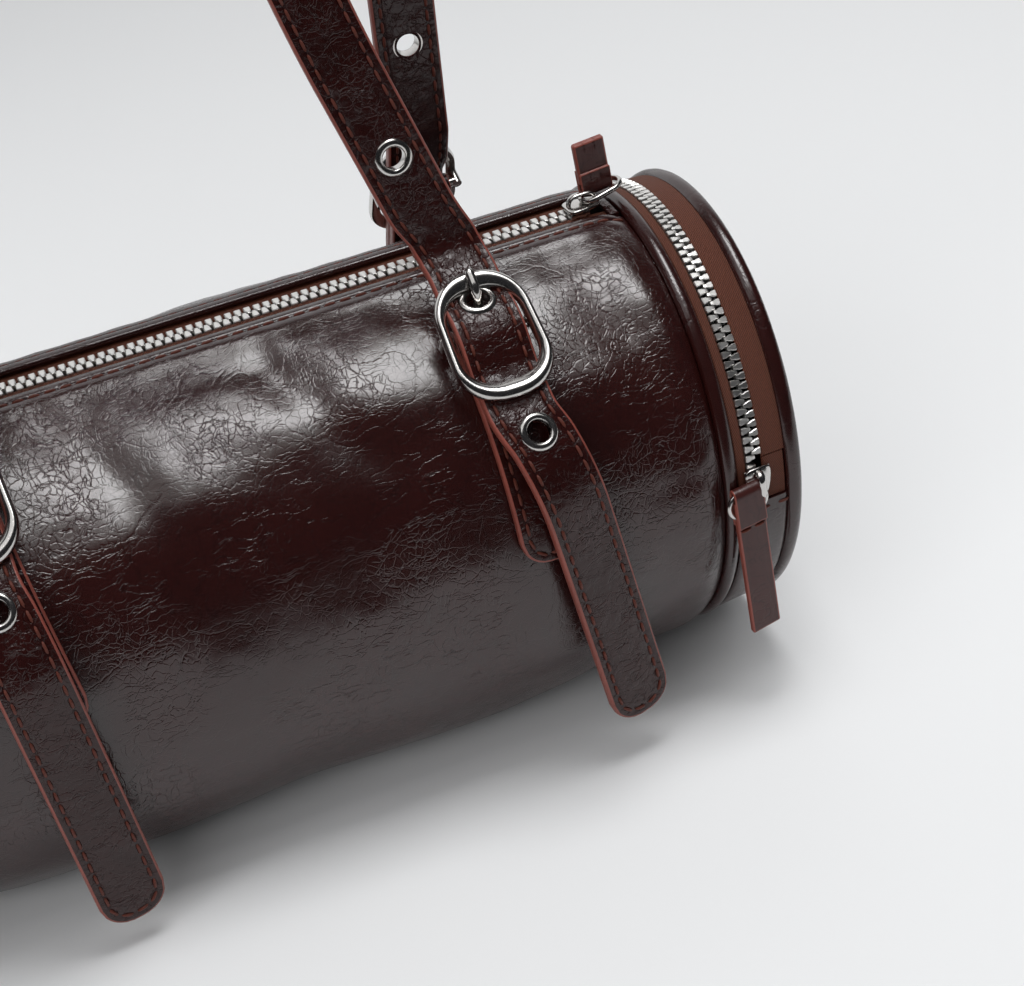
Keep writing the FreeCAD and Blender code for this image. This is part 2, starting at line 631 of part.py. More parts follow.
def handle_stations(side):
    """Middle points and cross axes of a front handle, right end to top."""
    start_y, start_z = side.point(HINGE_AT + GAP, STRAP_LOW_N)
    first, last = math.radians(side.lift), math.radians(90 - HANDLE_TILT)
    centre_y = start_y - HANDLE_BEND * math.sin(first)
    centre_z = start_z + HANDLE_BEND * math.cos(first)
    stations = []
    for index in range(BEND_STATIONS):
        angle = first + (last - first) * index / (BEND_STATIONS - 1)
        spot = V(side.x, centre_y + HANDLE_BEND * math.sin(angle), centre_z - HANDLE_BEND * math.cos(angle))
        stations.append((spot, X_AXIS, V(0, -math.sin(angle), math.cos(angle))))
    base = stations[-1][0]
    up = V(0, math.sin(math.radians(HANDLE_TILT)), math.cos(math.radians(HANDLE_TILT)))
    leg, arch = handle_leg(side)
    lean = math.radians(side.lean)
    half = HANDLE_LENGTH / 2
    places = []
    for share in LEG_STATION_SHARES:
        run = leg * share
        places.append((run, lean, base + up * (run * math.cos(lean)) - X_AXIS * (run * math.sin(lean))))
    middle = base - X_AXIS * side.x + up * (leg * math.cos(lean) - arch * math.sin(lean))
    for index in range(1, ARCH_STATIONS + 1):
        angle = lean + (math.pi / 2 - lean) * index / ARCH_STATIONS
        spot = middle + X_AXIS * (arch * math.cos(angle)) + up * (arch * math.sin(angle))
        places.append((leg + arch * (angle - lean), angle, spot))
    for run, angle, spot in places:
        outward = X_AXIS * math.cos(angle) + up * math.sin(angle)
        along = up * math.cos(angle) - X_AXIS * math.sin(angle)
        front = outward.cross(along)
        twist = -math.pi / 2 * smooth((run / half - TWIST_START_SHARE) / (1 - TWIST_START_SHARE))
        across = outward * math.cos(twist) + front * math.sin(twist)
        stations.append((spot, across, front * math.cos(twist) - outward * math.sin(twist)))
    return stations


def section(spot, across, normal):
    """Rectangle of the strap at one station."""
    wide, thick = across * (STRAP_WIDTH / 2), normal * (STRAP_T / 2)
    corners = [spot + wide + thick, spot - wide + thick, spot - wide - thick, spot + wide - thick]
    return Part.makePolygon(corners + corners[:1])


def handle(side):
    """Carrying handle between the two buckles, with its eyelets."""
    stations = handle_stations(side)
    mirror = [(V(-p.x, p.y, p.z), V(a.x, -a.y, -a.z), V(-n.x, n.y, n.z)) for p, a, n in stations[:-1]]
    sections = [section(*station) for station in stations + mirror[::-1]]
    strap = Part.makeLoft(sections, True, False)
    leg_from = EYELET_PITCH + EYELET_AT - HINGE_AT - HANDLE_BEND
    lean = math.radians(side.lean)
    base, _, normal = stations[BEND_STATIONS - 1]
    up = V(0, normal.z, -normal.y)
    spot = base + up * (leg_from * math.cos(lean)) - X_AXIS * (leg_from * math.sin(lean))
    rings = []
    for sign in (1, -1):
        place = V(sign * spot.x, spot.y, spot.z)
        ring = seated(eyelet(), place, 90 - HANDLE_TILT)
        strap = strap.cut(seated(eyelet_room(), place, 90 - HANDLE_TILT))
        rings.append(ring)
    return side.face(strap), side.face(Part.makeCompound(rings))


def save(name, shape):
    """Write one node."""
    shape.exportStep("parts/" + name + ".step")


def build_body():
    """Everything sewn together, apart from the straps."""
    save("body_panel", body_panel())
    save("left_end_panel", end_disc(-HALF_LENGTH, RING_R, PIPING_D))
    save("left_piping", piping(-HALF_LENGTH, RING_R, PIPING_D))
    save("pocket_divider", end_disc(INNER_X, INNER_RING_R, INNER_PIPING_D))
    save("inner_piping", piping(INNER_X, INNER_RING_R, INNER_PIPING_D))
    save("pocket_gusset", pocket_gusset())
    save("pocket_tape_fixed", pocket_tape_fixed())
    save("pocket_tape_lid", pocket_tape_lid())
    save("pocket_teeth_fixed", pocket_teeth(SLIDER_ANGLE, -1))
    save("pocket_teeth_lid", pocket_teeth(LID_ANGLE - 1, 1))
    outer = piping(HALF_LENGTH, RING_R, PIPING_D)
    panel = end_disc(HALF_LENGTH, RING_R, PIPING_D)
    save("end_piping_base", below(outer, LID_Z))
    save("end_piping_lid", above(outer, LID_Z + GAP))
    save("end_panel_base", below(panel, LID_Z))
    save("end_panel_lid", above(panel, LID_Z + GAP))
    for name, side in (("front", -1), ("back", 1)):
        save("top_tape_" + name, top_tape(side))
        save("top_teeth_" + name, top_teeth(side))
    save("zip_tab_right", zip_tab(MOUTH_RIGHT - GAP - ZIP_TAB_LENGTH))
    save("zip_tab_left", zip_tab(MOUTH_LEFT + GAP))
    for name, shapes in (("top", top_zip_pull()), ("pocket", pocket_zip_pull())):
        for piece, shape in zip(("slider", "ring", "pull"), shapes):
            save(name + "_" + piece, shape)


def build_straps():
    """Handles, buckles, tabs and strap ends on both sides."""
    eyelets = []
    for side in (FRONT, BACK):
        strap, rings = handle(side)
        save(side.name + "_handle", strap)
        save(side.name + "_handle_eyelets", rings)
        for name, sign in (("right", 1), ("left", -1)):
            x = sign * side.x * (1 if side is FRONT else -1)
            label = side.name + "_" + name + "_"
            tail, ring = strap_tail(side, side.tail_leans[name])
            save(label + "tab", side.place(anchor_tab(side), x))
            save(label + "buckle", side.place(buckle_frame(), x))
            save(label + "prong", side.place(prong(), x))
            save(label + "saddle", side.place(strap_saddle(), x))
            save(label + "tail", side.place(tail, x))
            save(label + "tail_eyelet", side.place(ring, x))
            eyelets.append(side.place(buckled_eyelet(), x))
    save("buckled_eyelets", Part.makeCompound(eyelets))


os.makedirs("parts", exist_ok=True)
build_body()
build_straps()
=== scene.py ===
"""Looks of a glossy leather barrel bag, dressed over its construction model.

Sizes are millimetres in the construction model's own frame (X along the bag to
the pocket end, Y to the back, Z up). They turn into metres where a mesh is made.
"""

import logging
import math
from dataclasses import dataclass, field
from enum import Enum
from typing import Dict, List, Optional, Sequence, Tuple

import bmesh
import bpy
import numpy as np
from mathutils import Matrix, Vector, noise


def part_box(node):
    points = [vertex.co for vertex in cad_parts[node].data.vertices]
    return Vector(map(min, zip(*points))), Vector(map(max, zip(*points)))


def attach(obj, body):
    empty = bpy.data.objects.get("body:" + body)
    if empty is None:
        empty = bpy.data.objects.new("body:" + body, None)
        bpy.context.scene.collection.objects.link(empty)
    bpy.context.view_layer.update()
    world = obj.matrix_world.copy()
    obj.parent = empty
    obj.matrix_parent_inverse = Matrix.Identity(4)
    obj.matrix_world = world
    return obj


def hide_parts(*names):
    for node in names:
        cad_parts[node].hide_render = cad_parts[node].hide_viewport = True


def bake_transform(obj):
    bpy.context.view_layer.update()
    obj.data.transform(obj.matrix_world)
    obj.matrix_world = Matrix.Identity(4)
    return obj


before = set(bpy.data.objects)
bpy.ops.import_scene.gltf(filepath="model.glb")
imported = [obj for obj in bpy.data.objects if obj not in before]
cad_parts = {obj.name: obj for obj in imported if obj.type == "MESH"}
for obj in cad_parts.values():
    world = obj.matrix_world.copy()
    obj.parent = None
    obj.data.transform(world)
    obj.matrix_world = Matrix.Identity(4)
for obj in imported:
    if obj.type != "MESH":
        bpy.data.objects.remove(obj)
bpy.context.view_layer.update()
LOG = logging.getLogger("barrel_bag")
MM = 0.001
Array = np.ndarray
Line = Tuple[Array, Array]
Hole = Tuple[Array, Array, Array]
Path2 = Sequence[Tuple[float, float]]
Piece = bpy.types.Object
Tree = bpy.types.NodeTree
X_AXIS = np.array([1.0, 0.0, 0.0])


class Slot(Enum):
    """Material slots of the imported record."""

    BODY = "leather"
    STRAP = "strap_leather"
    TAPE = "zip_tape"
    METAL = "hardware"


def span(node: str) -> Tuple[float, float]:
    """First and last place of a construction node along the bag, in millimetres."""
    low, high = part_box(node)
    return low.x / MM, high.x / MM


def middle(node: str) -> float:
    """Middle of a construction node along the bag, in millimetres."""
    return sum(span(node)) / 2


@dataclass(frozen=True)
class BagSizes:
    """Main sizes that every sub-assembly shares; places along the bag come from the frame."""

    radius: float = 75.0
    axis_z: float = 72.808
    piping: float = 5.6
    inner_piping: float = 5.0
    panel: float = 2.2
    tape: float = 0.9
    gap: float = 0.3
    mouth_half: float = 8.5
    mouth_end: float = 1.2
    tooth_reach: float = 2.7
    tooth_pitch: float = 3.0
    tooth_height: float = 2.4
    lid_angle: float = 80.5
    slider_angle: float = 86.0
    gusset_angle: float = 92.0
    gusset_r: float = 72.8
    ring_r: float = 71.4
    inner_ring_r: float = 71.7
    tape_r: float = 72.5
    disc_r: float = 68.3
    divider_r: float = 68.9
    tooth_bite: float = 0.5
    left_x: float = middle("left_piping")
    right_x: float = middle("end_piping_base")
    inner_x: float = middle("inner_piping")
    body_left: float = span("body_panel")[0]
    body_right: float = span("body_panel")[1]
    chain_x: float = middle("pocket_slider")
    slider_x: float = middle("top_slider")
    end_lean: float = 2.7
    lean_start: float = 20.0
    slack_start: float = 116.0
    end_slack: float = 3.0
    lean_z: float = 58.0
    front_x: float = middle("front_right_buckle")
    back_x: float = middle("back_right_buckle")
    back_apart: float = 2.0

    @property
    def pocket_left(self) -> float:
        """Where the pocket's wall starts, past the inner piping."""
        return self.inner_x + self.inner_piping / 2 + self.gap

    @property
    def pocket_right(self) -> float:
        """Where the pocket's wall ends, before the end piping."""
        return self.right_x - self.piping / 2 - self.gap

    @property
    def mouth_angle(self) -> float:
        """Angle from the top at which the leather's hem starts."""
        return math.degrees(math.asin(self.mouth_half / self.radius))

    @property
    def lid_z(self) -> float:
        """Height at which the pocket's lid bends."""
        return self.axis_z + self.radius * math.cos(math.radians(self.lid_angle))


BAG = BagSizes()
AXIS = np.array([0.0, 0.0, BAG.axis_z])


def linear(hex_code: str) -> Tuple[float, float, float, float]:
    """Turn an sRGB hex colour into linear RGBA.

    Args:
        hex_code: colour such as "#3a130f".

    Returns:
        Linear red, green, blue and an alpha of one.
    """
    parts = [int(hex_code[i:i + 2], 16) / 255 for i in (1, 3, 5)]
    return tuple(c / 12.92 if c <= 0.04045 else ((c + 0.055) / 1.055) ** 2.4 for c in parts) + (1.0,)


def per_metre(size_mm: float) -> float:
    """Texture scale that gives a pattern of this size in millimetres."""
    return 1.0 / (size_mm * MM)


def add_node(tree: Tree, kind: str, settings: Optional[Dict] = None,
             inputs: Optional[Dict] = None) -> bpy.types.Node:
    """Add one node with its settings, values and links.

    Args:
        tree: node tree that gets the node.
        kind: node type name.
        settings: node properties by name.
        inputs: values, or nodes (for their first output) and sockets to link, by input name or index.

    Returns:
        The new node.
    """
    node = tree.nodes.new(kind)
    for key, value in (settings or {}).items():
        setattr(node, key, value)
    for key, value in (inputs or {}).items():
        if isinstance(value, bpy.types.Node):
            value = value.outputs[0]
        if isinstance(value, bpy.types.NodeSocket):
            tree.links.new(value, node.inputs[key])
        else:
            node.inputs[key].default_value = value
    return node


def stand(name: str, data: bpy.types.ID) -> Piece:
    """Make an object of a mesh, lamp or camera and put it in the scene.

    Args:
        name: object name.
        data: what the object shows.

    Returns:
        The new object.
    """
    made = bpy.data.objects.new(name, data)
    bpy.context.scene.collection.objects.link(made)
    return made


def baked(piece: Piece) -> bpy.types.Mesh:
    """Plain mesh of an object with its modifiers carried out."""
    graph = bpy.context.evaluated_depsgraph_get()
    return bpy.data.meshes.new_from_object(piece.evaluated_get(graph), depsgraph=graph)


def ease(value: Array) -> Array:
    """Smooth step from 0 to 1."""
    value = np.clip(value, 0.0, 1.0)
    return value * value * (3 - 2 * value)


def bell(value: Array, middle_at: float, spread: float) -> Array:
    """Bell curve of height one."""
    return np.exp(-((value - middle_at) / spread) ** 2)


def turn_about_bag(points: Array, degrees: float) -> Array:
    """Turn points about the bag's axis, from the top towards the front.

    Args:
        points: array of points whose Z is measured from the bag's axis.
        degrees: angle of the turn.

    Returns:
        Points in the bag's frame.
    """
    c, s = math.cos(math.radians(degrees)), math.sin(math.radians(degrees))
    points = np.asarray(points, float)
    x, y, z = points[..., 0], points[..., 1], points[..., 2]
    return np.stack([x, y * c - z * s, BAG.axis_z + y * s + z * c], axis=-1)


def round_point(x: Array, radius: Array, degrees: Array) -> Array:
    """Points at a place along the bag, a radius and an angle from the top to the front."""
    x, radius, angle = np.broadcast_arrays(x, radius, np.radians(degrees))
    return np.stack([x, -radius * np.sin(angle), BAG.axis_z + radius * np.cos(angle)], axis=-1)


def outward_at(degrees: Array) -> Array:
    """Directions straight out of the bag at angles from the top to the front."""
    return round_point(0.0, 1.0, degrees) - AXIS


def rounded_path(corners: Path2, radii: Sequence[float], step: float) -> Array:
    """Sample a plane path whose inner corners are arcs.

    Args:
        corners: corner points of the path.
        radii: arc radius at each inner corner.
        step: distance between samples.

    Returns:
        Array of points along the path.
    """
    pts = [np.array(c, float) for c in corners]
    out, start = [], pts[0]
    for before, corner, after, radius in zip(pts[:-2], pts[1:-1], pts[2:], radii):
        into = (before - corner) / np.linalg.norm(before - corner)
        leave = (after - corner) / np.linalg.norm(after - corner)
        half = math.acos(float(np.clip(into @ leave, -1, 1))) / 2
        reach = radius / math.tan(half)
        bisector = (into + leave) / np.linalg.norm(into + leave)
        centre = corner + bisector * (radius / math.sin(half))
        first, last = corner + into * reach, corner + leave * reach
        runs = max(2, int(np.linalg.norm(first - start) / step) + 1)
        out.extend(start + (first - start) * k / runs for k in range(runs))
        a0 = math.atan2(*(first - centre)[::-1])
        sweep = (math.atan2(*(last - centre)[::-1]) - a0 + math.pi) % (2 * math.pi) - math.pi
        bends = max(4, int(abs(sweep) * radius / step) + 1)
        angles = [a0 + sweep * k / bends for k in range(bends)]
        out.extend(centre + radius * np.array([math.cos(a), math.sin(a)]) for a in angles)
        start = last
    runs = max(2, int(np.linalg.norm(pts[-1] - start) / step) + 1)
    out.extend(start + (pts[-1] - start) * k / runs for k in range(runs + 1))
    return np.array(out)


class Draft:
    """Gathers points and faces in millimetres and turns them into one mesh."""

    def __init__(self) -> None:
        """Start empty."""
        self.points: List[Array] = []
        self.marks: List[Array] = []
        self.count = 0
        self.faces: List[Tuple[int, ...]] = []
        self.tags: List[int] = []

    def spread(self, points: Array, marks: Optional[Array] = None) -> int:
        """Add points.

        Args:
            points: array of points.
            marks: cloth coordinates of the points in millimetres.

        Returns:
            Index of the first new point.
        """
        flat = np.asarray(points, float).reshape(-1, 3)
        self.points.append(flat)
        self.marks.append(np.zeros((len(flat), 2)) if marks is None else np.asarray(marks).reshape(-1, 2))
        self.count += len(flat)
        return self.count - len(flat)

    def face(self, indices: Sequence[int], tag: int = 0) -> None:
        """Add one face."""
        self.faces.append(tuple(indices))
        self.tags.append(tag)

    def net(self, points: Array, ring_u: bool = False, ring_v: bool = False, tag: int = 0,
            marks: Optional[Array] = None, caps: bool = False) -> Array:
        """Add a net of quads.

        Args:
            points: array of rows and columns of points.
            ring_u: whether the last row joins the first.
            ring_v: whether the last column joins the first.
            tag: finish number of the faces.
            marks: cloth coordinates of the points.
            caps: whether the first and the last row are closed by a face.

        Returns:
            Array of the new points' indices, rows by columns.
        """
        rows, cols = points.shape[:2]
        index = self.spread(points, marks) + np.arange(rows * cols).reshape(rows, cols)
        u = np.vstack([index, index[:1]]) if ring_u else index
        v = np.hstack([u, u[:, :1]]) if ring_v else u
        quads = np.stack([v[:-1, :-1], v[1:, :-1], v[1:, 1:], v[:-1, 1:]], axis=-1).reshape(-1, 4)
        self.faces.extend(map(tuple, quads.tolist()))
        self.tags.extend([tag] * len(quads))
        if caps:
            self.face(index[0][::-1].tolist(), tag)
            self.face(index[-1].tolist(), tag)
        return index

    def tube(self, path: Array, radius: Array, sides: int = 12, closed: bool = False,
             flat: Tuple[float, float] = (1.0, 1.0), first: Vector = Vector((0, 0, 1))) -> None:
        """Add a tube along a path.

        Args:
            path: array of points.
            radius: radius at each point, or one for all.
            sides: faces round the tube.
            closed: whether the path is a loop.
            flat: stretch of the section along its first and second axis.
            first: rough direction of the section's first axis at the start.
        """
        path = np.asarray(path, float)
        size = np.broadcast_to(np.asarray(radius, float), (len(path),))
        ahead = np.roll(path, -1, 0) - np.roll(path, 1, 0)
        if not closed:
            ahead[0], ahead[-1] = path[1] - path[0], path[-1] - path[-2]
        ahead /= np.linalg.norm(ahead, axis=1)[:, None]
        one = np.array(first, float)
        angles = np.arange(sides) * 2 * math.pi / sides
        wide, deep = np.cos(angles) * flat[0], np.sin(angles) * flat[1]
        rings = []
        for spot, along, r in zip(path, ahead, size):
            one = one - along * (one @ along)
            one /= np.linalg.norm(one)
            two = np.cross(along, one)
            rings.append(spot + r * (np.outer(wide, one) + np.outer(deep, two)))
        self.net(np.array(rings), ring_u=closed, ring_v=True, caps=not closed)

    def lathe(self, profile: Path2, sides: int, frame_axes: Array, centre: Array) -> None:
        """Add a closed profile turned round an axis.

        Args:
            profile: radius and height of each profile point, a closed loop.
            sides: faces round the axis.
            frame_axes: rows of two cross axes and the turning axis.
            centre: point that height zero stands on.
        """
        angles = np.arange(sides) * 2 * math.pi / sides
        pairs = np.array(profile, float)
        across = np.outer(np.cos(angles), frame_axes[0]) + np.outer(np.sin(angles), frame_axes[1])
        points = centre + across[:, None, :] * pairs[None, :, :1] + frame_axes[2] * pairs[None, :, 1:]
        self.net(points, ring_u=True, ring_v=True)

    def slab(self, outline: Path2, low: float, high: float, bevel: float) -> None:
        """Add a flat plate with a rounded top rim.

        Args:
            outline: corner points of the plate, anticlockwise.
            low: height of the underside.
            high: height of the top.
            bevel: size of the rounded rim.
        """
        base = np.array(outline, float)
        centre = base.mean(0)
        reach = np.linalg.norm(base - centre, axis=1)[:, None]
        rings = []
        for inset, height in ((bevel, low), (0.0, low + bevel), (0.0, high - bevel),
                              (0.3 * bevel, high - 0.3 * bevel), (bevel, high)):
            ring = centre + (base - centre) * (1 - inset / reach)
            rings.append(np.column_stack([ring, np.full(len(ring), height)]))
        self.net(np.array(rings), ring_v=True, caps=True)

    def piece(self, name: str, finishes: Sequence["Finish"], sharp: float = 40.0) -> Piece:
        """Make the mesh object.

        Args:
            name: piece name.
            finishes: finish of each tag number.
            sharp: angle in degrees above which an edge is not smoothed.

        Returns:
            The object, at the origin and linked to the scene.
        """
        mesh = bpy.data.meshes.new(name)
        mesh.from_pydata((np.concatenate(self.points) * MM).tolist(), [], self.faces)
        mesh.polygons.foreach_set("material_index", self.tags)
        marks = np.concatenate(self.marks)
        if marks.any():
            corner = np.zeros(len(mesh.loops), np.int32)
            mesh.loops.foreach_get("vertex_index", corner)
            mesh.uv_layers.new(name="Cloth").data.foreach_set("uv", marks[corner].ravel())
        work = bmesh.new()
        work.from_mesh(mesh)
        bmesh.ops.remove_doubles(work, verts=work.verts, dist=0.004 * MM)
        bmesh.ops.recalc_face_normals(work, faces=work.faces)
        work.to_mesh(mesh)
        work.free()
        for finish in finishes:
            mesh.materials.append(finish.material())
        mesh.shade_smooth()
        mesh.set_sharp_from_angle(angle=math.radians(sharp))
        return stand(name, mesh)


@dataclass(frozen=True)
class Finish:
    """A surface finish that makes its own material once."""

    name: str

    def material(self) -> bpy.types.Material:
        """The finish's material, made at the first call."""
        return bpy.data.materials.get(self.name) or self.make()

    def start(self) -> Tuple[bpy.types.Material, Tree, bpy.types.NodeSocket]:
        """Make an empty material.

        Returns:
            The material, its cleared node tree and the socket with the piece's own coordinates.
        """
        material = bpy.data.materials.new(self.name)
        material.use_nodes = True
        tree = material.node_tree
        tree.nodes.clear()
        return material, tree, add_node(tree, "ShaderNodeTexCoord").outputs["Object"]

    def make(self) -> bpy.types.Material:
        """Build the material; each finish has its own."""
        raise NotImplementedError

    def close(self, tree: Tree, inputs: Dict) -> None:
        """Add the shader and the output.

        Args:
            tree: node tree of the material.
            inputs: values and links of the shader's sockets.
        """
        shader = add_node(tree, "ShaderNodeBsdfPrincipled", None, inputs)
        add_node(tree, "ShaderNodeOutputMaterial", None, {"Surface": shader})


@dataclass(frozen=True)
class CrinkledLeather(Finish):
    """Lacquered, milled leather: a wet gloss broken up by fine creases in patches, with painted shade that
    darkens the fine creases.
    """

    base: str = "#2f100e"
    deep: str = "#1f0908"
    crackle_mm: float = 2.9
    ridge_mm: float = 3.0
    crease_mm: float = 26.0
    soft_mm: float = 12.0
    grain_mm: float = 0.7
    drift_mm: float = 8.0
    sway_mm: float = 5.0
    patch_mm: float = 34.0
    depth_mm: float = 0.085
    calm: float = 0.28
    swell: float = 4.0
    roughness: float = 0.2
    ior: float = 1.64
    net_share: float = 0.6
    net_width: float = 0.075
    ridge_width: float = 0.032
    line_share: float = 0.4
    line_width: float = 0.014
    grain_share: float = 0.12
    # painted shade: share of the colour's brightness kept in the fine creases
    crease_shade: float = 0.7
    patch_edges: Tuple[float, float] = (0.42, 0.58)
    gloss_range: float = 0.06

    def creases(self, tree: Tree, place: bpy.types.NodeSocket, size_mm: float,
                width: float) -> bpy.types.NodeSocket:
        """Add curving crease lines.

        Args:
            tree: node tree of the material.
            place: coordinates to draw them in.
            size_mm: rough distance between lines.
            width: share of the noise's range that a line takes.

        Returns:
            Socket that is 0 in a crease and 1 beside it.
        """
        waves = add_node(tree, "ShaderNodeTexNoise", None,
                         {"Vector": place, "Scale": per_metre(size_mm), "Detail": 2.0, "Roughness": 0.45,
                          "Distortion": 0.5})
        centred = add_node(tree, "ShaderNodeMath", {"operation": "SUBTRACT"}, {0: waves, 1: 0.5})
        fold = add_node(tree, "ShaderNodeMath", {"operation": "ABSOLUTE"}, {0: centred})
        line = add_node(tree, "ShaderNodeMapRange", {"interpolation_type": "SMOOTHSTEP"},
                        {"Value": fold, "From Max": width})
        return line.outputs[0]

    def make(self) -> bpy.types.Material:
        """Build the leather's material.

        Returns:
            The material.
        """
        material, tree, place = self.start()
        drift, patch, soft, grain = (
            add_node(tree, "ShaderNodeTexNoise", None,
                     {"Vector": place, "Scale": per_metre(size), "Detail": detail})
            for size, detail in ((self.drift_mm, 3.0), (self.patch_mm, 2.0), (self.soft_mm, 1.0),
                                 (self.grain_mm, 2.0)))
        bent = add_node(tree, "ShaderNodeVectorMath", {"operation": "MULTIPLY_ADD"},
                        {0: drift.outputs["Color"], 1: (self.sway_mm * MM,) * 3, 2: place}).outputs[0]
        lively = add_node(tree, "ShaderNodeMapRange", {"interpolation_type": "SMOOTHSTEP"},
                          {"Value": patch, "From Min": self.patch_edges[0], "From Max": self.patch_edges[1],
                           "To Min": self.calm, "To Max": 1.0})
        cells = add_node(tree, "ShaderNodeTexVoronoi", {"feature": "DISTANCE_TO_EDGE"},
                         {"Vector": bent, "Scale": per_metre(self.crackle_mm)})
        net = add_node(tree, "ShaderNodeMapRange", {"interpolation_type": "SMOOTHSTEP"},
                       {"Value": cells, "From Max": self.net_width})
        drawn = []
        for stretch in ((0.3, 1.0, 1.0), (1.0, 0.32, 0.32)):
            pulled = add_node(tree, "ShaderNodeVectorMath", {"operation": "MULTIPLY"}, {0: bent, 1: stretch})
            drawn.append(self.creases(tree, pulled.outputs[0], self.ridge_mm, self.ridge_width))
        turned = add_node(tree, "ShaderNodeMapRange", {"interpolation_type": "SMOOTHSTEP"},
                          {"Value": drift, "From Min": self.patch_edges[0], "From Max": self.patch_edges[1]})
        fine = add_node(tree, "ShaderNodeMix", {"data_type": "FLOAT"},
                        {0: turned, 2: drawn[0], 3: drawn[1]})
        deep_lines = self.creases(tree, bent, self.crease_mm, self.line_width)
        both = add_node(tree, "ShaderNodeMath", {"operation": "MULTIPLY_ADD"},
                        {0: net, 1: self.net_share, 2: fine})
        height = add_node(tree, "ShaderNodeMath", {"operation": "MULTIPLY"}, {0: both, 1: lively})
        for layer, share in ((deep_lines, self.line_share), (soft, self.swell), (grain, self.grain_share)):
            height = add_node(tree, "ShaderNodeMath", {"operation": "MULTIPLY_ADD"},
                              {0: layer, 1: share, 2: height})
        bump = add_node(tree, "ShaderNodeBump", None, {"Distance": self.depth_mm * MM, "Height": height})
        tone = add_node(tree, "ShaderNodeMix", {"data_type": "RGBA"},
                        {0: patch, 6: linear(self.deep), 7: linear(self.base)})
        # painted shade: the colour is darkened in the fine creases
        crease_shade = add_node(tree, "ShaderNodeMapRange", None,
                          {"Value": fine, "To Min": self.crease_shade, "To Max": 1.0})
        shaded = add_node(tree, "ShaderNodeVectorMath", {"operation": "SCALE"},
                          {0: tone.outputs[2], "Scale": crease_shade})
        gloss = add_node(tree, "ShaderNodeMapRange", None,
                         {"Value": grain, "From Min": 0.3, "From Max": 0.7,
                          "To Min": self.roughness, "To Max": self.roughness + self.gloss_range})
        self.close(tree, {"Base Color": shaded, "Roughness": gloss, "Normal": bump, "IOR": self.ior})
        return material


@dataclass(frozen=True)
class EdgePaint(Finish):
    """Brushed-on edge paint: satin, redder than the leather, with faint brush streaks."""

    base: str = "#8a483d"
    dark: str = "#6a342c"
    streak_mm: float = 0.9
    wash_mm: float = 12.6
    depth_mm: float = 0.05
    gloss: Tuple[float, float] = (0.3, 0.55)

    def make(self) -> bpy.types.Material:
        """Build the paint's material.

        Returns:
            The material.
        """
        material, tree, place = self.start()
        streak = add_node(tree, "ShaderNodeTexNoise", None,
                          {"Vector": place, "Scale": per_metre(self.streak_mm), "Detail": 3.0})
        wide = add_node(tree, "ShaderNodeTexNoise", None,
                        {"Vector": place, "Scale": per_metre(self.wash_mm), "Detail": 2.0})
        tone = add_node(tree, "ShaderNodeMix", {"data_type": "RGBA"},
                        {0: wide, 6: linear(self.dark), 7: linear(self.base)})
        bump = add_node(tree, "ShaderNodeBump", None,
                        {"Strength": 0.5, "Distance": self.depth_mm * MM, "Height": streak})
        gloss = add_node(tree, "ShaderNodeMapRange", None,
                         {"Value": streak, "To Min": self.gloss[0], "To Max": self.gloss[1]})
        self.close(tree, {"Base Color": tone.outputs[2], "Roughness": gloss, "Normal": bump})
        return material


@dataclass(frozen=True)
class SpunFibre(Finish):
    """Spun fibre: dull, with a fine ply in thread and small slubs in woven cloth."""

    base: str
    dark: str
    twist_mm: float
    depth_mm: float
    strength: float
    roughness: float
    detail: float

    def make(self) -> bpy.types.Material:
        """Build the fibre's material.

        Returns:
            The material.
        """
        material, tree, place = self.start()
        twist = add_node(tree, "ShaderNodeTexNoise", None,
                         {"Vector": place, "Scale": per_metre(self.twist_mm), "Detail": self.detail})
        tone = add_node(tree, "ShaderNodeMix", {"data_type": "RGBA"},
                        {0: twist, 6: linear(self.dark), 7: linear(self.base)})
        bump = add_node(tree, "ShaderNodeBump", None,
                        {"Strength": self.strength, "Distance": self.depth_mm * MM,
                         "Height": twist})
        self.close(tree, {"Base Color": tone.outputs[2], "Roughness": self.roughness, "Normal": bump})
        return material


@dataclass(frozen=True)
class PolishedNickel(Finish):
    """Polished nickel plate: a bright mirror with soft handling marks."""

    base: str = "#c9c6c3"
    mark_mm: float = 6.0
    depth_mm: float = 0.03
    roughness: float = 0.14
    wear: float = 0.12

    def make(self) -> bpy.types.Material:
        """Build the metal's material.

        Returns:
            The material.
        """
        material, tree, place = self.start()
        mark = add_node(tree, "ShaderNodeTexNoise", None,
                        {"Vector": place, "Scale": per_metre(self.mark_mm), "Detail": 5.0,
                         "Roughness": 0.65})
        gloss = add_node(tree, "ShaderNodeMapRange", None,
                         {"Value": mark, "From Min": 0.35, "From Max": 0.75,
                          "To Min": self.roughness, "To Max": self.roughness + self.wear})
        bump = add_node(tree, "ShaderNodeBump", None,
                        {"Strength": 0.2, "Distance": self.depth_mm * MM, "Height": mark})
        self.close(tree, {"Base Color": linear(self.base), "Metallic": 1.0, "Roughness": gloss,
                          "Normal": bump})
        return material


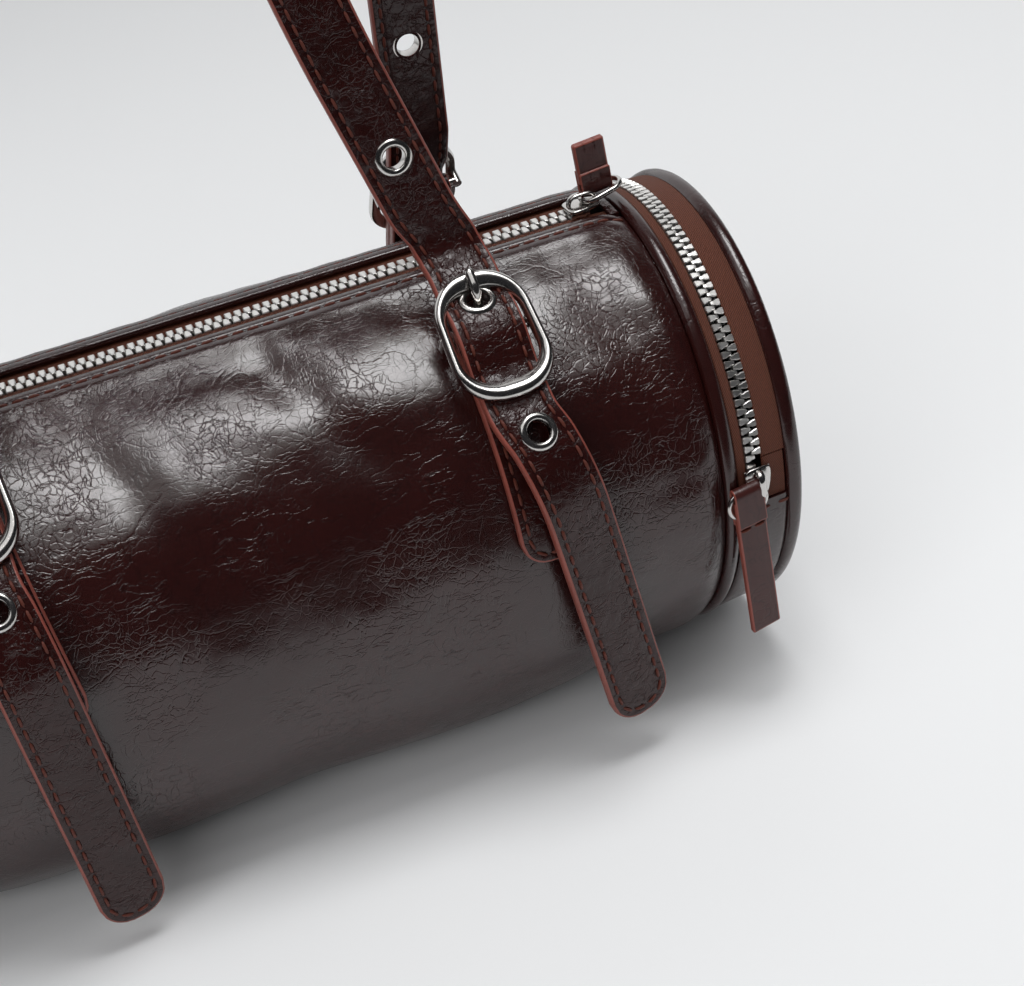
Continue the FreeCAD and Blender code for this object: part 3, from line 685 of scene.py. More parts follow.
@dataclass(frozen=True)
class TwillTape(Finish):
    """Woven polyester zip tape: matt brown with a fine slanted twill."""

    base: str = "#6b3a27"
    dark: str = "#381b12"
    depth_mm: float = 0.2
    rib_mm: float = 0.85      # real ribs are about 0.5 mm, drawn coarser so that they show

    def make(self) -> bpy.types.Material:
        """Build the tape's material.

        Returns:
            The material.
        """
        material, tree, _ = self.start()
        cloth = add_node(tree, "ShaderNodeUVMap", {"uv_map": "Cloth"})
        ribs = add_node(tree, "ShaderNodeTexWave", {"bands_direction": "DIAGONAL"},
                        {"Vector": cloth, "Scale": 2 * math.pi / (10 * self.rib_mm),
                         "Distortion": 1.2, "Detail": 2.0, "Detail Scale": 1.4})
        picks = add_node(tree, "ShaderNodeTexNoise", None,
                         {"Vector": cloth, "Scale": 1.0 / self.rib_mm, "Detail": 2.0})
        weave = add_node(tree, "ShaderNodeMath", {"operation": "MULTIPLY_ADD"},
                         {0: picks, 1: 0.7, 2: ribs.outputs["Fac"]})
        share = add_node(tree, "ShaderNodeMapRange", None,
                         {"Value": weave, "From Min": 0.2, "From Max": 1.4})
        tone = add_node(tree, "ShaderNodeMix", {"data_type": "RGBA"},
                        {0: share, 6: linear(self.dark), 7: linear(self.base)})
        bump = add_node(tree, "ShaderNodeBump", None, {"Distance": self.depth_mm * MM, "Height": weave})
        self.close(tree, {"Base Color": tone.outputs[2], "Roughness": 0.8, "Normal": bump})
        return material


@dataclass(frozen=True)
class StudioPaper(Finish):
    """Matt background paper: almost even, with a trace of fibre."""

    base: str = "#e8e9ea"
    fibre_mm: float = 5.0

    def make(self) -> bpy.types.Material:
        """Build the paper's material.

        Returns:
            The material.
        """
        material, tree, place = self.start()
        fibre = add_node(tree, "ShaderNodeTexNoise", None,
                         {"Vector": place, "Scale": per_metre(self.fibre_mm), "Detail": 3.0})
        rough = add_node(tree, "ShaderNodeMapRange", None,
                         {"Value": fibre, "To Min": 0.86, "To Max": 0.96})
        self.close(tree, {"Base Color": linear(self.base), "Roughness": rough, "Specular IOR Level": 0.2})
        return material


BODY_LEATHER = CrinkledLeather("lacquered_leather")
STRAP_LEATHER = CrinkledLeather("lacquered_strap_leather", crackle_mm=3.2, ridge_mm=2.0, crease_mm=12.0,
                                soft_mm=5.0, patch_mm=14.0, depth_mm=0.14, calm=0.4, ior=1.46)
PULL_LEATHER = CrinkledLeather("smooth_pull_leather", base="#43201d", deep="#351715", crackle_mm=6.0,
                               ridge_mm=4.0, depth_mm=0.04, calm=0.1, swell=1.5, roughness=0.3, ior=1.5)
PIPING_LEATHER = CrinkledLeather("piping_leather", crackle_mm=7.0, ridge_mm=5.0, depth_mm=0.05, calm=0.1)
EDGE = EdgePaint("edge_paint")
THREAD = SpunFibre("waxed_thread", base="#662f22", dark="#3d1a12", twist_mm=0.35, depth_mm=0.08,
                   strength=0.6, roughness=0.62, detail=1.0)
NICKEL = PolishedNickel("polished_nickel")
TEETH_NICKEL = PolishedNickel("satin_nickel", base="#e4e2df", roughness=0.34)
TWILL = TwillTape("twill_zip_tape")
LINING = SpunFibre("cotton_lining", base="#2b1915", dark="#170c0a", twist_mm=1.2, depth_mm=0.1,
                   strength=0.5, roughness=0.9, detail=4.0)
PAPER = StudioPaper("background_paper")
CARD = StudioPaper("black_card", base="#0c0c0d")


def leaned(piece: Piece, drawn_in: bool = True) -> Piece:
    """Lean the pocket end of a piece outward at the top and draw it in, as the slack bag stands.

    Args:
        piece: a finished piece of the barrel, the pocket or a zip.
        drawn_in: False for a piece that leaves the drawn-in end when it moves.

    Returns:
        The same piece.
    """
    spots = np.empty(3 * len(piece.data.vertices), np.float32)
    piece.data.vertices.foreach_get("co", spots)
    x, z = spots[0::3] / MM, spots[2::3] / MM
    share = ease((x - BAG.lean_start) / (BAG.right_x - BAG.lean_start))
    slack = ease((x - BAG.slack_start) / (BAG.right_x - BAG.slack_start)) * drawn_in
    smaller = BAG.end_slack / BAG.radius * slack
    spots[0::3] += math.tan(math.radians(BAG.end_lean)) * (z - BAG.lean_z) * share * MM
    spots[1::3] *= 1 - smaller
    spots[2::3] += (BAG.axis_z - z) * smaller * MM
    piece.data.vertices.foreach_set("co", spots)
    piece.data.update()
    return piece


def settle(piece: Piece, body: str, nodes: Sequence[str] = ()) -> None:
    """Make a finished piece ride on a body.

    Args:
        piece: the finished object.
        body: construction body that it moves with.
        nodes: construction nodes that it stands for.
    """
    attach(piece, body)
    declare(piece, nodes)


def bridge_joint(piece: Piece,
                 nodes: Sequence[str] = ()) -> None:
    """Leave a finished piece on no body, with its place baked into its mesh.

    Args:
        piece: the finished object.
        nodes: construction nodes that it stands for.
    """
    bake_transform(piece)
    declare(piece, nodes)


def declare(piece: Piece, nodes: Sequence[str]) -> None:
    """Hide the construction nodes that a piece stands for, and log its face count.

    Args:
        piece: the finished object.
        nodes: construction nodes that it stands for.
    """
    if nodes:
        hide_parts(*nodes)
    LOG.info("%s: %d faces", piece.name, len(piece.data.polygons))


class RunOfShapes:
    """Geometry Nodes tree that sets one small shape along paths at an even pitch."""

    def __init__(self) -> None:
        """Build the tree and keep its inputs' identifiers."""
        tree = bpy.data.node_groups.new("run_of_shapes", "GeometryNodeTree")
        self.inputs = {}
        kinds = {"Path": "Geometry", "Shape": "Object", "Pitch": "Float", "Finish": "Material"}
        for name, kind in kinds.items():
            socket = tree.interface.new_socket(name, in_out="INPUT", socket_type="NodeSocket" + kind)
            self.inputs[name] = socket.identifier
        tree.interface.new_socket("Run", in_out="OUTPUT", socket_type="NodeSocketGeometry")
        given = add_node(tree, "NodeGroupInput")
        line = add_node(tree, "GeometryNodeMeshToCurve", None, {"Mesh": given.outputs["Path"]})
        spaced = add_node(tree, "GeometryNodeResampleCurve", {"mode": "LENGTH"},
                          {"Curve": line, "Length": given.outputs["Pitch"]})
        ahead = add_node(tree, "GeometryNodeInputTangent")
        outward = add_node(tree, "GeometryNodeInputNamedAttribute", {"data_type": "FLOAT_VECTOR"},
                           {"Name": "outward"})
        along = add_node(tree, "FunctionNodeAlignRotationToVector", {"axis": "X"}, {"Vector": ahead})
        upright = add_node(tree, "FunctionNodeAlignRotationToVector", {"axis": "Z", "pivot_axis": "X"},
                           {"Rotation": along, "Vector": outward})
        shape = add_node(tree, "GeometryNodeObjectInfo", None, {"Object": given.outputs["Shape"]})
        set_out = add_node(tree, "GeometryNodeInstanceOnPoints", None,
                           {"Points": spaced, "Instance": shape.outputs["Geometry"],
                            "Rotation": upright})
        real = add_node(tree, "GeometryNodeRealizeInstances", None, {0: set_out})
        dressed = add_node(tree, "GeometryNodeSetMaterial", None,
                           {"Geometry": real, "Material": given.outputs["Finish"]})
        add_node(tree, "NodeGroupOutput", None, {0: dressed})
        self.tree = tree

    def lay(self, name: str, paths: Sequence[Line], shape: Piece, pitch: float, finish: Finish) -> Piece:
        """Set a shape along paths and turn the result into one plain mesh.

        Args:
            name: piece name.
            paths: point and outward direction arrays of each path.
            shape: the shape, X along the path and Z outward.
            pitch: distance between shapes.
            finish: finish of the run.

        Returns:
            The finished object.
        """
        points = np.concatenate([p for p, _ in paths])
        outward = np.concatenate([np.broadcast_to(o, p.shape) for p, o in paths])
        edges, first = [], 0
        for path, _ in paths:
            edges.extend((first + k, first + k + 1) for k in range(len(path) - 1))
            first += len(path)
        line = bpy.data.meshes.new(name + "_path")
        line.from_pydata((points * MM).tolist(), edges, [])
        line.attributes.new("outward", "FLOAT_VECTOR", "POINT").data.foreach_set(
            "vector", np.ascontiguousarray(outward, np.float32).ravel())
        carrier = stand(name + "_path", line)
        modifier = carrier.modifiers.new("run", "NODES")
        modifier.node_group = self.tree
        modifier[self.inputs["Shape"]] = shape
        modifier[self.inputs["Pitch"]] = pitch * MM
        modifier[self.inputs["Finish"]] = finish.material()
        mesh = baked(carrier)
        mesh.name = name
        bpy.data.objects.remove(carrier)
        return stand(name, mesh)


@dataclass
class Ribbon:
    """Middle line of a strap with its cross and outward directions."""

    spots: Array
    across: Array
    outward: Array

    def __post_init__(self) -> None:
        """Measure the line, and give every station its directions."""
        self.across = np.broadcast_to(self.across, self.spots.shape)
        self.outward = np.broadcast_to(self.outward, self.spots.shape)
        steps = np.linalg.norm(np.diff(self.spots, axis=0), axis=1)
        self.runs = np.concatenate([[0.0], np.cumsum(steps)])

    @property
    def length(self) -> float:
        """Length of the middle line."""
        return float(self.runs[-1])

    def at(self, along: Array) -> Tuple[Array, Array, Array]:
        """Middle point, cross and outward direction at places along the line.

        Args:
            along: distances from the start.

        Returns:
            Three arrays of vectors.
        """
        found = []
        for track in (self.spots, self.across, self.outward):
            found.append(np.stack([np.interp(along, self.runs, track[:, k]) for k in range(3)], axis=-1))
        for k in (1, 2):
            found[k] = found[k] / np.linalg.norm(found[k], axis=-1, keepdims=True)
        return found[0], found[1], found[2]

    def carry(self, along: Array, side: Array, height: Array) -> Array:
        """Points at a distance along, to the side and out of the strap's middle."""
        along, side, height = np.broadcast_arrays(along, side, height)
        spot, across, outward = self.at(along)
        return spot + across * side[..., None] + outward * height[..., None]


# Angles of the rows of points round a strap's painted edge, from its face to its back.
EDGE_TURNS = (90, 66, 42, 20, 0, -20, -42, -66, -90)


@dataclass(frozen=True)
class StripCut:
    """Cut of a leather strip: outline, thickness, painted edge and sewn line."""

    length: float
    half: float
    thick: float
    tip_round: float = 0.0
    cut_start: bool = False
    cut_end: bool = False
    seam: float = 3.0
    groove: float = 0.32
    groove_spread: float = 0.5
    crown: float = 0.3
    edge: float = 0.85
    edge_square: float = 0.7
    edge_full: float = 0.85
    edge_join: float = 0.16
    step: float = 1.5

    def rows(self) -> Array:
        """Even places along the strip, closer together at a finished end."""
        close = 6.0 + self.tip_round
        body = np.linspace(0, self.length - close, max(3, int((self.length - close) / self.step)))
        return np.concatenate([body, np.linspace(self.length - close, self.length, 20)[1:]])

    def columns(self) -> Array:
        """Shares of the half width, close together at the sewn line."""
        flat = self.half - self.edge
        sewn = self.half - self.seam
        right = [0.0, 0.3 * sewn, 0.6 * sewn, sewn - 1.5, sewn - 0.8, sewn - 0.35, sewn, sewn + 0.35,
                 sewn + 0.8, 0.5 * (sewn + 0.8 + flat), flat]
        share = np.array(right) / flat
        return np.concatenate([-share[:0:-1], share])

    def outline(self, inset: float) -> Tuple[Array, Array]:
        """Net of the strip's plan, drawn in by an inset.

        Args:
            inset: distance from the cut edge.

        Returns:
            Arrays of places along and across.
        """
        half = self.half - inset
        side = np.broadcast_to(self.columns() * half, (len(self.rows()), len(self.columns())))
        along = np.array(np.broadcast_to(self.rows()[:, None], side.shape))
        end = self.length - (inset if self.cut_end else 0.0)
        radius = max(self.tip_round - inset, 0.02) if self.cut_end else 0.02
        over = np.clip(np.abs(side) - (half - radius), 0, radius)
        reach = end - radius + np.sqrt(radius ** 2 - over ** 2) if self.cut_end else np.full(side.shape, end)
        zone = 2 * self.tip_round + 4.0
        origin = self.length - zone
        late = along > origin
        along[late] = (origin + (along - origin) * (reach - origin) / zone)[late]
        if self.cut_start:
            early = along < zone
            along[early] = (inset + along * (zone - inset) / zone)[early]
        return along, side

    def margin(self, along: Array, side: Array) -> Array:
        """Distance of plan points from the cut edge.

        Args:
            along: places along the strip.
            side: places across it.

        Returns:
            Array of distances.
        """
        near = self.half - np.abs(side)
        if self.cut_end:
            near = np.minimum(near, self.length - along)
            past = along - (self.length - self.tip_round)
            over = np.abs(side) - (self.half - self.tip_round)
            corner = (past > 0) & (over > 0)
            near = np.where(corner, self.tip_round - np.hypot(past, over), near)
        if self.cut_start:
            near = np.minimum(near, along)
        return near

    def height(self, along: Array, side: Array) -> Array:
        """Height of the leather face over the strip's middle."""
        near = self.margin(along, side)
        puff = self.crown * np.sqrt(np.clip((near - self.seam) / max(self.half - self.seam, 0.1), 0, 1))
        return self.thick / 2 + puff - self.groove * bell(near, self.seam, self.groove_spread)

    @staticmethod
    def rim(net: Array) -> Array:
        """Points round the edge of a net, as one loop."""
        return np.concatenate([net[:, 0], net[-1, 1:], net[-2::-1, -1], net[0, -2:0:-1]])

    def build(self, draft: Draft, ribbon: Ribbon, face_tag: int = 0, edge_tag: int = 1) -> None:
        """Add the strip to a draft, along a ribbon.

        Args:
            draft: draft that gets the strip.
            ribbon: line that the strip follows.
            face_tag: finish number of the leather faces.
            edge_tag: finish number of the painted edge.
        """
        along, side = self.outline(self.edge)
        high = self.height(along, side)
        rim_high = self.rim(high[..., None])[:, 0]
        draft.net(ribbon.carry(along, side, high), tag=face_tag)
        draft.net(ribbon.carry(along, side, -high), tag=face_tag)
        rings = []
        for degrees in EDGE_TURNS:
            angle = math.radians(degrees)
            inset = self.edge * (1 - abs(math.cos(angle)) ** self.edge_square)
            inset += self.edge_join if degrees == 0 else 0.0
            share = math.copysign(abs(math.sin(angle)) ** self.edge_full, degrees)
            ring_along, ring_side = self.outline(inset if abs(degrees) < 90 else self.edge)
            ring = ribbon.carry(self.rim(ring_along[..., None])[:, 0], self.rim(ring_side[..., None])[:, 0],
                                rim_high * share)
            rings.append(ring)
        draft.net(np.array(rings), ring_v=True, tag=edge_tag)

    def seams(self, ribbon: Ribbon, start: float, end: float, round_tip: bool,
              both_faces: bool = True) -> List[Line]:
        """Sewing lines of the strip.

        Args:
            ribbon: line that the strip follows.
            start: first sewn place along the strip.
            end: last one.
            round_tip: whether the line runs round the far end.
            both_faces: whether the back shows stitches too.

        Returns:
            Point and outward arrays of each line.
        """
        along, side = self.outline(self.seam)
        keep = (self.rows() >= start) & (self.rows() <= end)
        left = (along[keep, 0], side[keep, 0])
        right = (along[keep, -1], side[keep, -1])
        lines = [left, right]
        if round_tip:
            lines = [(np.concatenate([left[0], along[-1, 1:-1], right[0][::-1]]),
                      np.concatenate([left[1], side[-1, 1:-1], right[1][::-1]]))]
        found = []
        for run, off in lines:
            for sign in (1, -1) if both_faces else (1,):
                outward = ribbon.at(run)[2] * sign
                found.append((ribbon.carry(run, off, sign * (self.thick / 2 - 0.12)), outward))
        return found


@dataclass
class Haberdashery:
    """Small shapes that repeat, and the tree that lays them out."""

    stitch_length: float = 3.7
    stitch_wide: float = 1.0
    stitch_pitch: float = 4.7

    def __post_init__(self) -> None:
        """Make the tree and the shapes."""
        self.runs = RunOfShapes()
        self.stitch = self.make_stitch()
        self.made = [self.stitch]

    def make_stitch(self) -> Piece:
        """One stitch: a short thread that dips into the leather at both ends.

        Returns:
            The stitch's object.
        """
        draft = Draft()
        half = self.stitch_length / 2
        path = [(x * half, 0, 0.16 - 0.5 * abs(x) ** 3) for x in (-1, -0.62, 0, 0.62, 1)]
        size = np.array([0.45, 0.95, 1.0, 0.95, 0.45]) * self.stitch_wide / 2
        draft.tube(np.array(path), size, sides=6)
        return draft.piece("stitch_shape", [THREAD], sharp=80)

    def tooth(self, name: str, longer: float = 0.0) -> Piece:
        """One zip tooth: a waisted metal bar, wide at the tape and at its head.

        Args:
            name: name of the shape.
            longer: how far its root clasps the tape, past the tape's edge.

        Returns:
            The tooth's object, its root towards -Y.
        """
        draft = Draft()
        tall = BAG.tooth_height / 2
        reach = BAG.tooth_reach + longer
        bite = BAG.tooth_bite
        rows = []
        for y, wide, high in ((-reach, 0.95, 0.8), (-reach + 0.25, 1.12, 1.0), (-1.3, 1.04, 1.0),
                              (-0.7, 0.74, 1.0), (bite - 0.35, 0.7, 1.0), (bite - 0.1, 0.58, 0.9),
                              (bite, 0.4, 0.75)):
            half = [(wide, y, -tall * high), (wide, y, tall * high - 0.3), (wide - 0.25, y, tall * high)]
            rows.append(half + [(-x, y, z) for x, y, z in half[::-1]])
        draft.net(np.array(rows), ring_v=True, caps=True)
        shape = draft.piece(name, [TEETH_NICKEL], sharp=35)
        self.made.append(shape)
        return shape

    def sew(self, name: str, paths: Sequence[Line]) -> Piece:
        """Sew along paths with the bag's thread."""
        return self.runs.lay(name, paths, self.stitch, self.stitch_pitch, THREAD)

    def clear(self) -> None:
        """Remove the shapes that were only copied from."""
        for shape in self.made:
            bpy.data.objects.remove(shape)


# Dents of the slack leather: length along and round the bag, start of the noise, and depth.
DENTS = ((74, 46, (0, 0, 0), 2.1), (30, 24, (7.3, 0, 0), 1.2), (11, 11, (2.1, 0, 5), 0.18))
# Rows of points close together at the hem and at the ends of the tube, as distances from the edge.
HEM_ROWS = (0, 0.4, 0.8, 1.3, 1.8, 2.2, 2.5, 2.75, 3.0, 3.25, 3.5, 3.9, 4.5, 5.2, 6.1, 7.2, 8.4)
END_ROWS = (0, 0.5, 1.2, 2.2, 3.4, 4.8, 6.4)
# Rings of points of a round end, as shares of its radius.
DISC_ROWS = (0.02, 0.1, 0.2, 0.32, 0.44, 0.55, 0.65, 0.74, 0.82, 0.88, 0.93, 0.96, 0.985, 1.0)


@dataclass
class Barrel:
    """Main leather tube, its left end and the seam rings."""

    kit: Haberdashery
    hem_seam: float = 3.0
    hem_stiff: float = 3.5
    hem_free: float = 16.0
    hem_bead: float = 0.3
    hem_groove: float = 0.42
    hem_groove_spread: float = 0.55
    hem_roll: float = 0.5
    hem_roll_at: float = 3.2
    hem_roll_spread: float = 2.2
    hem_lift_back: float = 0.8
    hem_lift_spread: float = 9.0
    end_free: float = 18.0
    shrink: float = 0.35
    sunk: float = 0.7
    floor_soft: float = 3.0
    floor_press: float = 0.55
    floor_low: float = 0.02
    slump: float = 2.6
    slump_angle: float = 30.0
    slump_spread: float = 15.0
    end_drop: float = 2.6
    end_run: float = 9.0
    sag: float = 6.2
    sag_angle: float = 142.0
    sag_spread: float = 36.0
    sag_run: float = 75.0
    pucker: float = 0.6
    pucker_reach: float = 13.0
    pucker_mm: float = 7.5
    pucker_long: float = 60.0
    pucker_free: float = 5.0
    fold_width: float = 9.0
    folds: Tuple[Tuple[float, float, float, float, float], ...] = (
        (12.0, 14.0, 36.0, 56.0, 1.7), (-48.0, 16.0, -22.0, 62.0, 1.4), (110.0, 20.0, 126.0, 60.0, 0.9))
    left_full: float = 1.6
    divider_full: float = 0.6
    wobble: float = 0.12
    disc_wave: float = 0.45
    disc_wave_mm: float = 34.0
    end_rows: float = 7.6
    columns: int = 236
    rows: int = 239

    def dents(self, points: Array) -> Array:
        """Soft dents of the slack leather.

        Args:
            points: places on the plain tube.

        Returns:
            Array of heights.
        """
        out = np.zeros(len(points))
        for along, around, start, depth in DENTS:
            spots = points / np.array([along, around, around]) + np.array(start)
            out += depth * np.array([noise.noise(Vector(spot)) for spot in spots])
        return out

    def folded(self, x: Array, degrees: Array) -> Array:
        """Long soft folds that run down the front from the hem.

        Args:
            x: places along the bag.
            degrees: angles from the top, positive to the front.

        Returns:
            Array of heights.
        """
        out = np.zeros(x.shape)
        for left, top, right, low, depth in self.folds:
            share = (degrees - top) / (low - top)
            aside = (x - left - (right - left) * share) / self.fold_width
            out -= depth * np.exp(-aside ** 2) * np.exp(-((share - 0.5) / 0.5) ** 4)
        return out

    def outer(self, x: Array, degrees: Array) -> Array:
        """Outer surface of the tube.

        Args:
            x: places along the bag.
            degrees: angles from the top, positive to the front.

        Returns:
            Array of points.
        """
        x, degrees = np.broadcast_arrays(x, degrees)
        turn = np.where(degrees > 180, 360 - degrees, degrees)
        from_hem = np.radians(turn - BAG.mouth_angle) * BAG.radius
        from_end = np.minimum(x - BAG.body_left, BAG.body_right - x)
        free = ease((from_hem - self.hem_stiff) / self.hem_free) * ease((from_end - 1) / self.end_free)
        plain = round_point(x, BAG.radius, degrees)
        dent = self.dents(plain.reshape(-1, 3)).reshape(x.shape)
        pucker = np.zeros(x.shape)
        for index in np.ndindex(x.shape):
            near_end, near_hem = from_end[index], from_hem[index]
            if near_end < 3 * self.pucker_reach:
                across = plain[index][1:] / self.pucker_mm
                spot = Vector((x[index] / self.pucker_long, across[0], across[1]))
                pucker[index] = math.exp(-near_end / self.pucker_reach) * noise.noise(spot)
            if near_hem < 3 * self.pucker_reach:
                spot = Vector((x[index] / self.pucker_mm, near_hem / self.pucker_long, 4.4))
                pucker[index] += math.exp(-near_hem / self.pucker_reach) * noise.noise(spot)
        pucker *= self.pucker * ease(from_end / self.pucker_free)
        pucker *= ease((from_hem - self.hem_stiff) / self.pucker_free)
        back = degrees > 180
        sag = self.sag * bell(turn, self.sag_angle, self.sag_spread) * ease(from_end / self.sag_run)
        drop = self.end_drop * np.clip(1 - from_end / self.end_run, 0, 1) ** 2
        drop += self.slump * back * bell(turn, self.slump_angle, self.slump_spread)
        hem = self.hem_bead * np.sin(np.clip(from_hem / self.hem_seam, 0, 1) * math.pi)
        hem -= self.hem_groove * bell(from_hem, self.hem_seam, self.hem_groove_spread)
        hem += self.hem_roll * bell(from_hem, self.hem_seam + self.hem_roll_at, self.hem_roll_spread)
        hem += self.hem_lift_back * back * bell(from_hem, 0.0, self.hem_lift_spread)
        slack = (dent + self.folded(x, degrees) - self.sunk) * free
        radius = BAG.radius - self.shrink + slack + sag + pucker - drop + hem * ease(from_end / 4)
        points = round_point(x, radius, degrees)
        low, soft = points[..., 2], self.floor_soft
        low = np.where(low < soft, soft * np.exp(np.minimum(low - soft, 0) / soft), low)
        points[..., 2] = np.maximum(low - self.floor_press * (low < soft), self.floor_low)
        return points

    def shell(self) -> Piece:
        """The tube with its folded hems and its lining.

        Returns:
            The finished object.
        """
        close = BAG.mouth_angle + np.degrees(np.array(HEM_ROWS) / BAG.radius)
        round_rows = np.linspace(close[-1], 360 - close[-1], self.rows)[1:-1]
        degrees = np.concatenate([close, round_rows, 360 - close[::-1]])
        ends = np.array(END_ROWS)
        along = np.linspace(BAG.body_left + self.end_rows, BAG.body_right - self.end_rows, self.columns)
        x = np.concatenate([BAG.body_left + ends, along, BAG.body_right - ends[::-1]])
        out = self.outer(x[:, None], degrees[None, :])
        towards = (AXIS - out) * np.array([0, 1, 1])
        towards /= np.linalg.norm(towards, axis=-1, keepdims=True)
        inner = out[:, ::3] + towards[:, ::3] * BAG.panel
        inner[..., 2] = np.maximum(inner[..., 2], BAG.panel)
        draft = Draft()
        outside = draft.net(out)
        inside = draft.net(inner, tag=1)
        sides = []
        for edge, depth in ((0, towards[:, 0]), (-1, towards[:, -1])):
            fold = []
            sideways = np.cross(X_AXIS, depth) * (1 if edge == 0 else -1)
            for k in range(7):
                angle = math.pi * k / 6
                fold.append(out[:, edge] + depth * (BAG.panel / 2) * (1 - math.cos(angle))
                            + sideways * (BAG.panel / 2) * math.sin(angle))
            sides.append(draft.net(np.array(fold)))
        for row in (0, -1):
            for k in range(inside.shape[1] - 1):
                outer_edge = outside[row, 3 * k:3 * k + 4].tolist()
                draft.face(outer_edge + [inside[row, k + 1], inside[row, k]])
            for fold in sides:
                draft.face(fold[:, row].tolist())
        return draft.piece("body_shell", [BODY_LEATHER, LINING], sharp=60)

    def hem_path(self, side: int) -> Line:
        """Sewing line along one folded edge of the mouth.

        Args:
            side: -1 for the front edge, 1 for the back one.

        Returns:
            Points and outward directions.
        """
        degrees = BAG.mouth_angle + math.degrees(self.hem_seam / BAG.radius)
        degrees = degrees if side < 0 else 360 - degrees
        x = np.linspace(BAG.body_left + 3, BAG.body_right - 3, 200)
        points = self.outer(x, degrees)
        outward = outward_at(degrees)
        return points + outward * 0.12, np.broadcast_to(outward, points.shape)

    def seam_ring(self, name: str, x: float, ring_r: float, size: float) -> Piece:
        """A leather-covered piping ring, pressed flat where it stands.

        Args:
            name: piece name.
            x: place along the bag.
            ring_r: radius of the ring's middle line.
            size: thickness of the piping.

        Returns:
            The finished object.
        """
        draft = Draft()
        angles = np.linspace(0, 360, 200, endpoint=False)
        turns = [math.radians(angle) for angle in angles]
        wobble = np.array([noise.noise(Vector((math.cos(a) * 3, math.sin(a) * 3, x / 50))) for a in turns])
        path = round_point(x, ring_r + self.wobble * wobble, angles)
        sides = 18
        turn = np.arange(sides) * 2 * math.pi / sides
        wide = np.cos(turn)[None, :, None] * outward_at(angles)[:, None, :]
        net = path[:, None, :] + size / 2 * (wide + np.sin(turn)[None, :, None] * X_AXIS)
        net[..., 2] = np.maximum(net[..., 2], BAG.gap)
        draft.net(net, ring_u=True, ring_v=True)
        return draft.piece(name, [PIPING_LEATHER], sharp=70)

    def disc(self, name: str, x: float, radius: float, bulge: float, finishes: Sequence[Finish]) -> Piece:
        """A round leather end, slightly full.

        Args:
            name: piece name.
            x: place along the bag.
            radius: radius of the disc.
            bulge: how far the outer face stands out in the middle.
            finishes: finish of the outer and the inner face.

        Returns:
            The finished object.
        """
        draft = Draft()
        half = BAG.panel / 2
        angles = np.linspace(0, 360, 120, endpoint=False)
        for sign, tag in ((1, 0), (-1, 1)):
            rings = []
            for share in DISC_ROWS:
                rim = half * 0.75 * max(0.0, (share - 0.93) / 0.07) ** 2
                full = bulge * (1 - share ** 2) * (1 if sign * bulge > 0 else 0.5)
                spots = round_point(x, radius * share, angles)
                wave = np.array([noise.noise(Vector(s) / self.disc_wave_mm) for s in spots])
                spots[:, 0] += sign * (half - rim) + full + self.disc_wave * wave * (1 - share)
                rings.append(spots)
            index = draft.net(np.array(rings), ring_v=True, tag=tag)
            draft.face(index[0].tolist(), tag)
            if sign > 0:
                outer = index[-1]
            else:
                for k in range(len(outer)):
                    nxt = (k + 1) % len(outer)
                    draft.face([outer[k], outer[nxt], index[-1][nxt], index[-1][k]])
        return draft.piece(name, finishes, sharp=60)

    def build(self) -> None:
        """Make the tube, both inner ends and their seam rings."""
        settle(leaned(self.shell()), "bag", ["body_panel"])
        settle(leaned(self.kit.sew("mouth_stitches", [self.hem_path(-1), self.hem_path(1)])), "bag")
        ring = self.seam_ring("left_seam_ring", BAG.left_x, BAG.ring_r, BAG.piping)
        settle(ring, "bag", ["left_piping"])
        ring = self.seam_ring("inner_seam_ring", BAG.inner_x, BAG.inner_ring_r, BAG.inner_piping)
        settle(leaned(ring), "bag", ["inner_piping"])
        disc = self.disc("left_end_disc", BAG.left_x, BAG.disc_r, -self.left_full, [LINING, BODY_LEATHER])
        settle(disc, "bag", ["left_end_panel"])
        disc = self.disc("divider_disc", BAG.inner_x, BAG.divider_r, self.divider_full, [LINING, LINING])
        settle(leaned(disc), "bag", ["pocket_divider"])


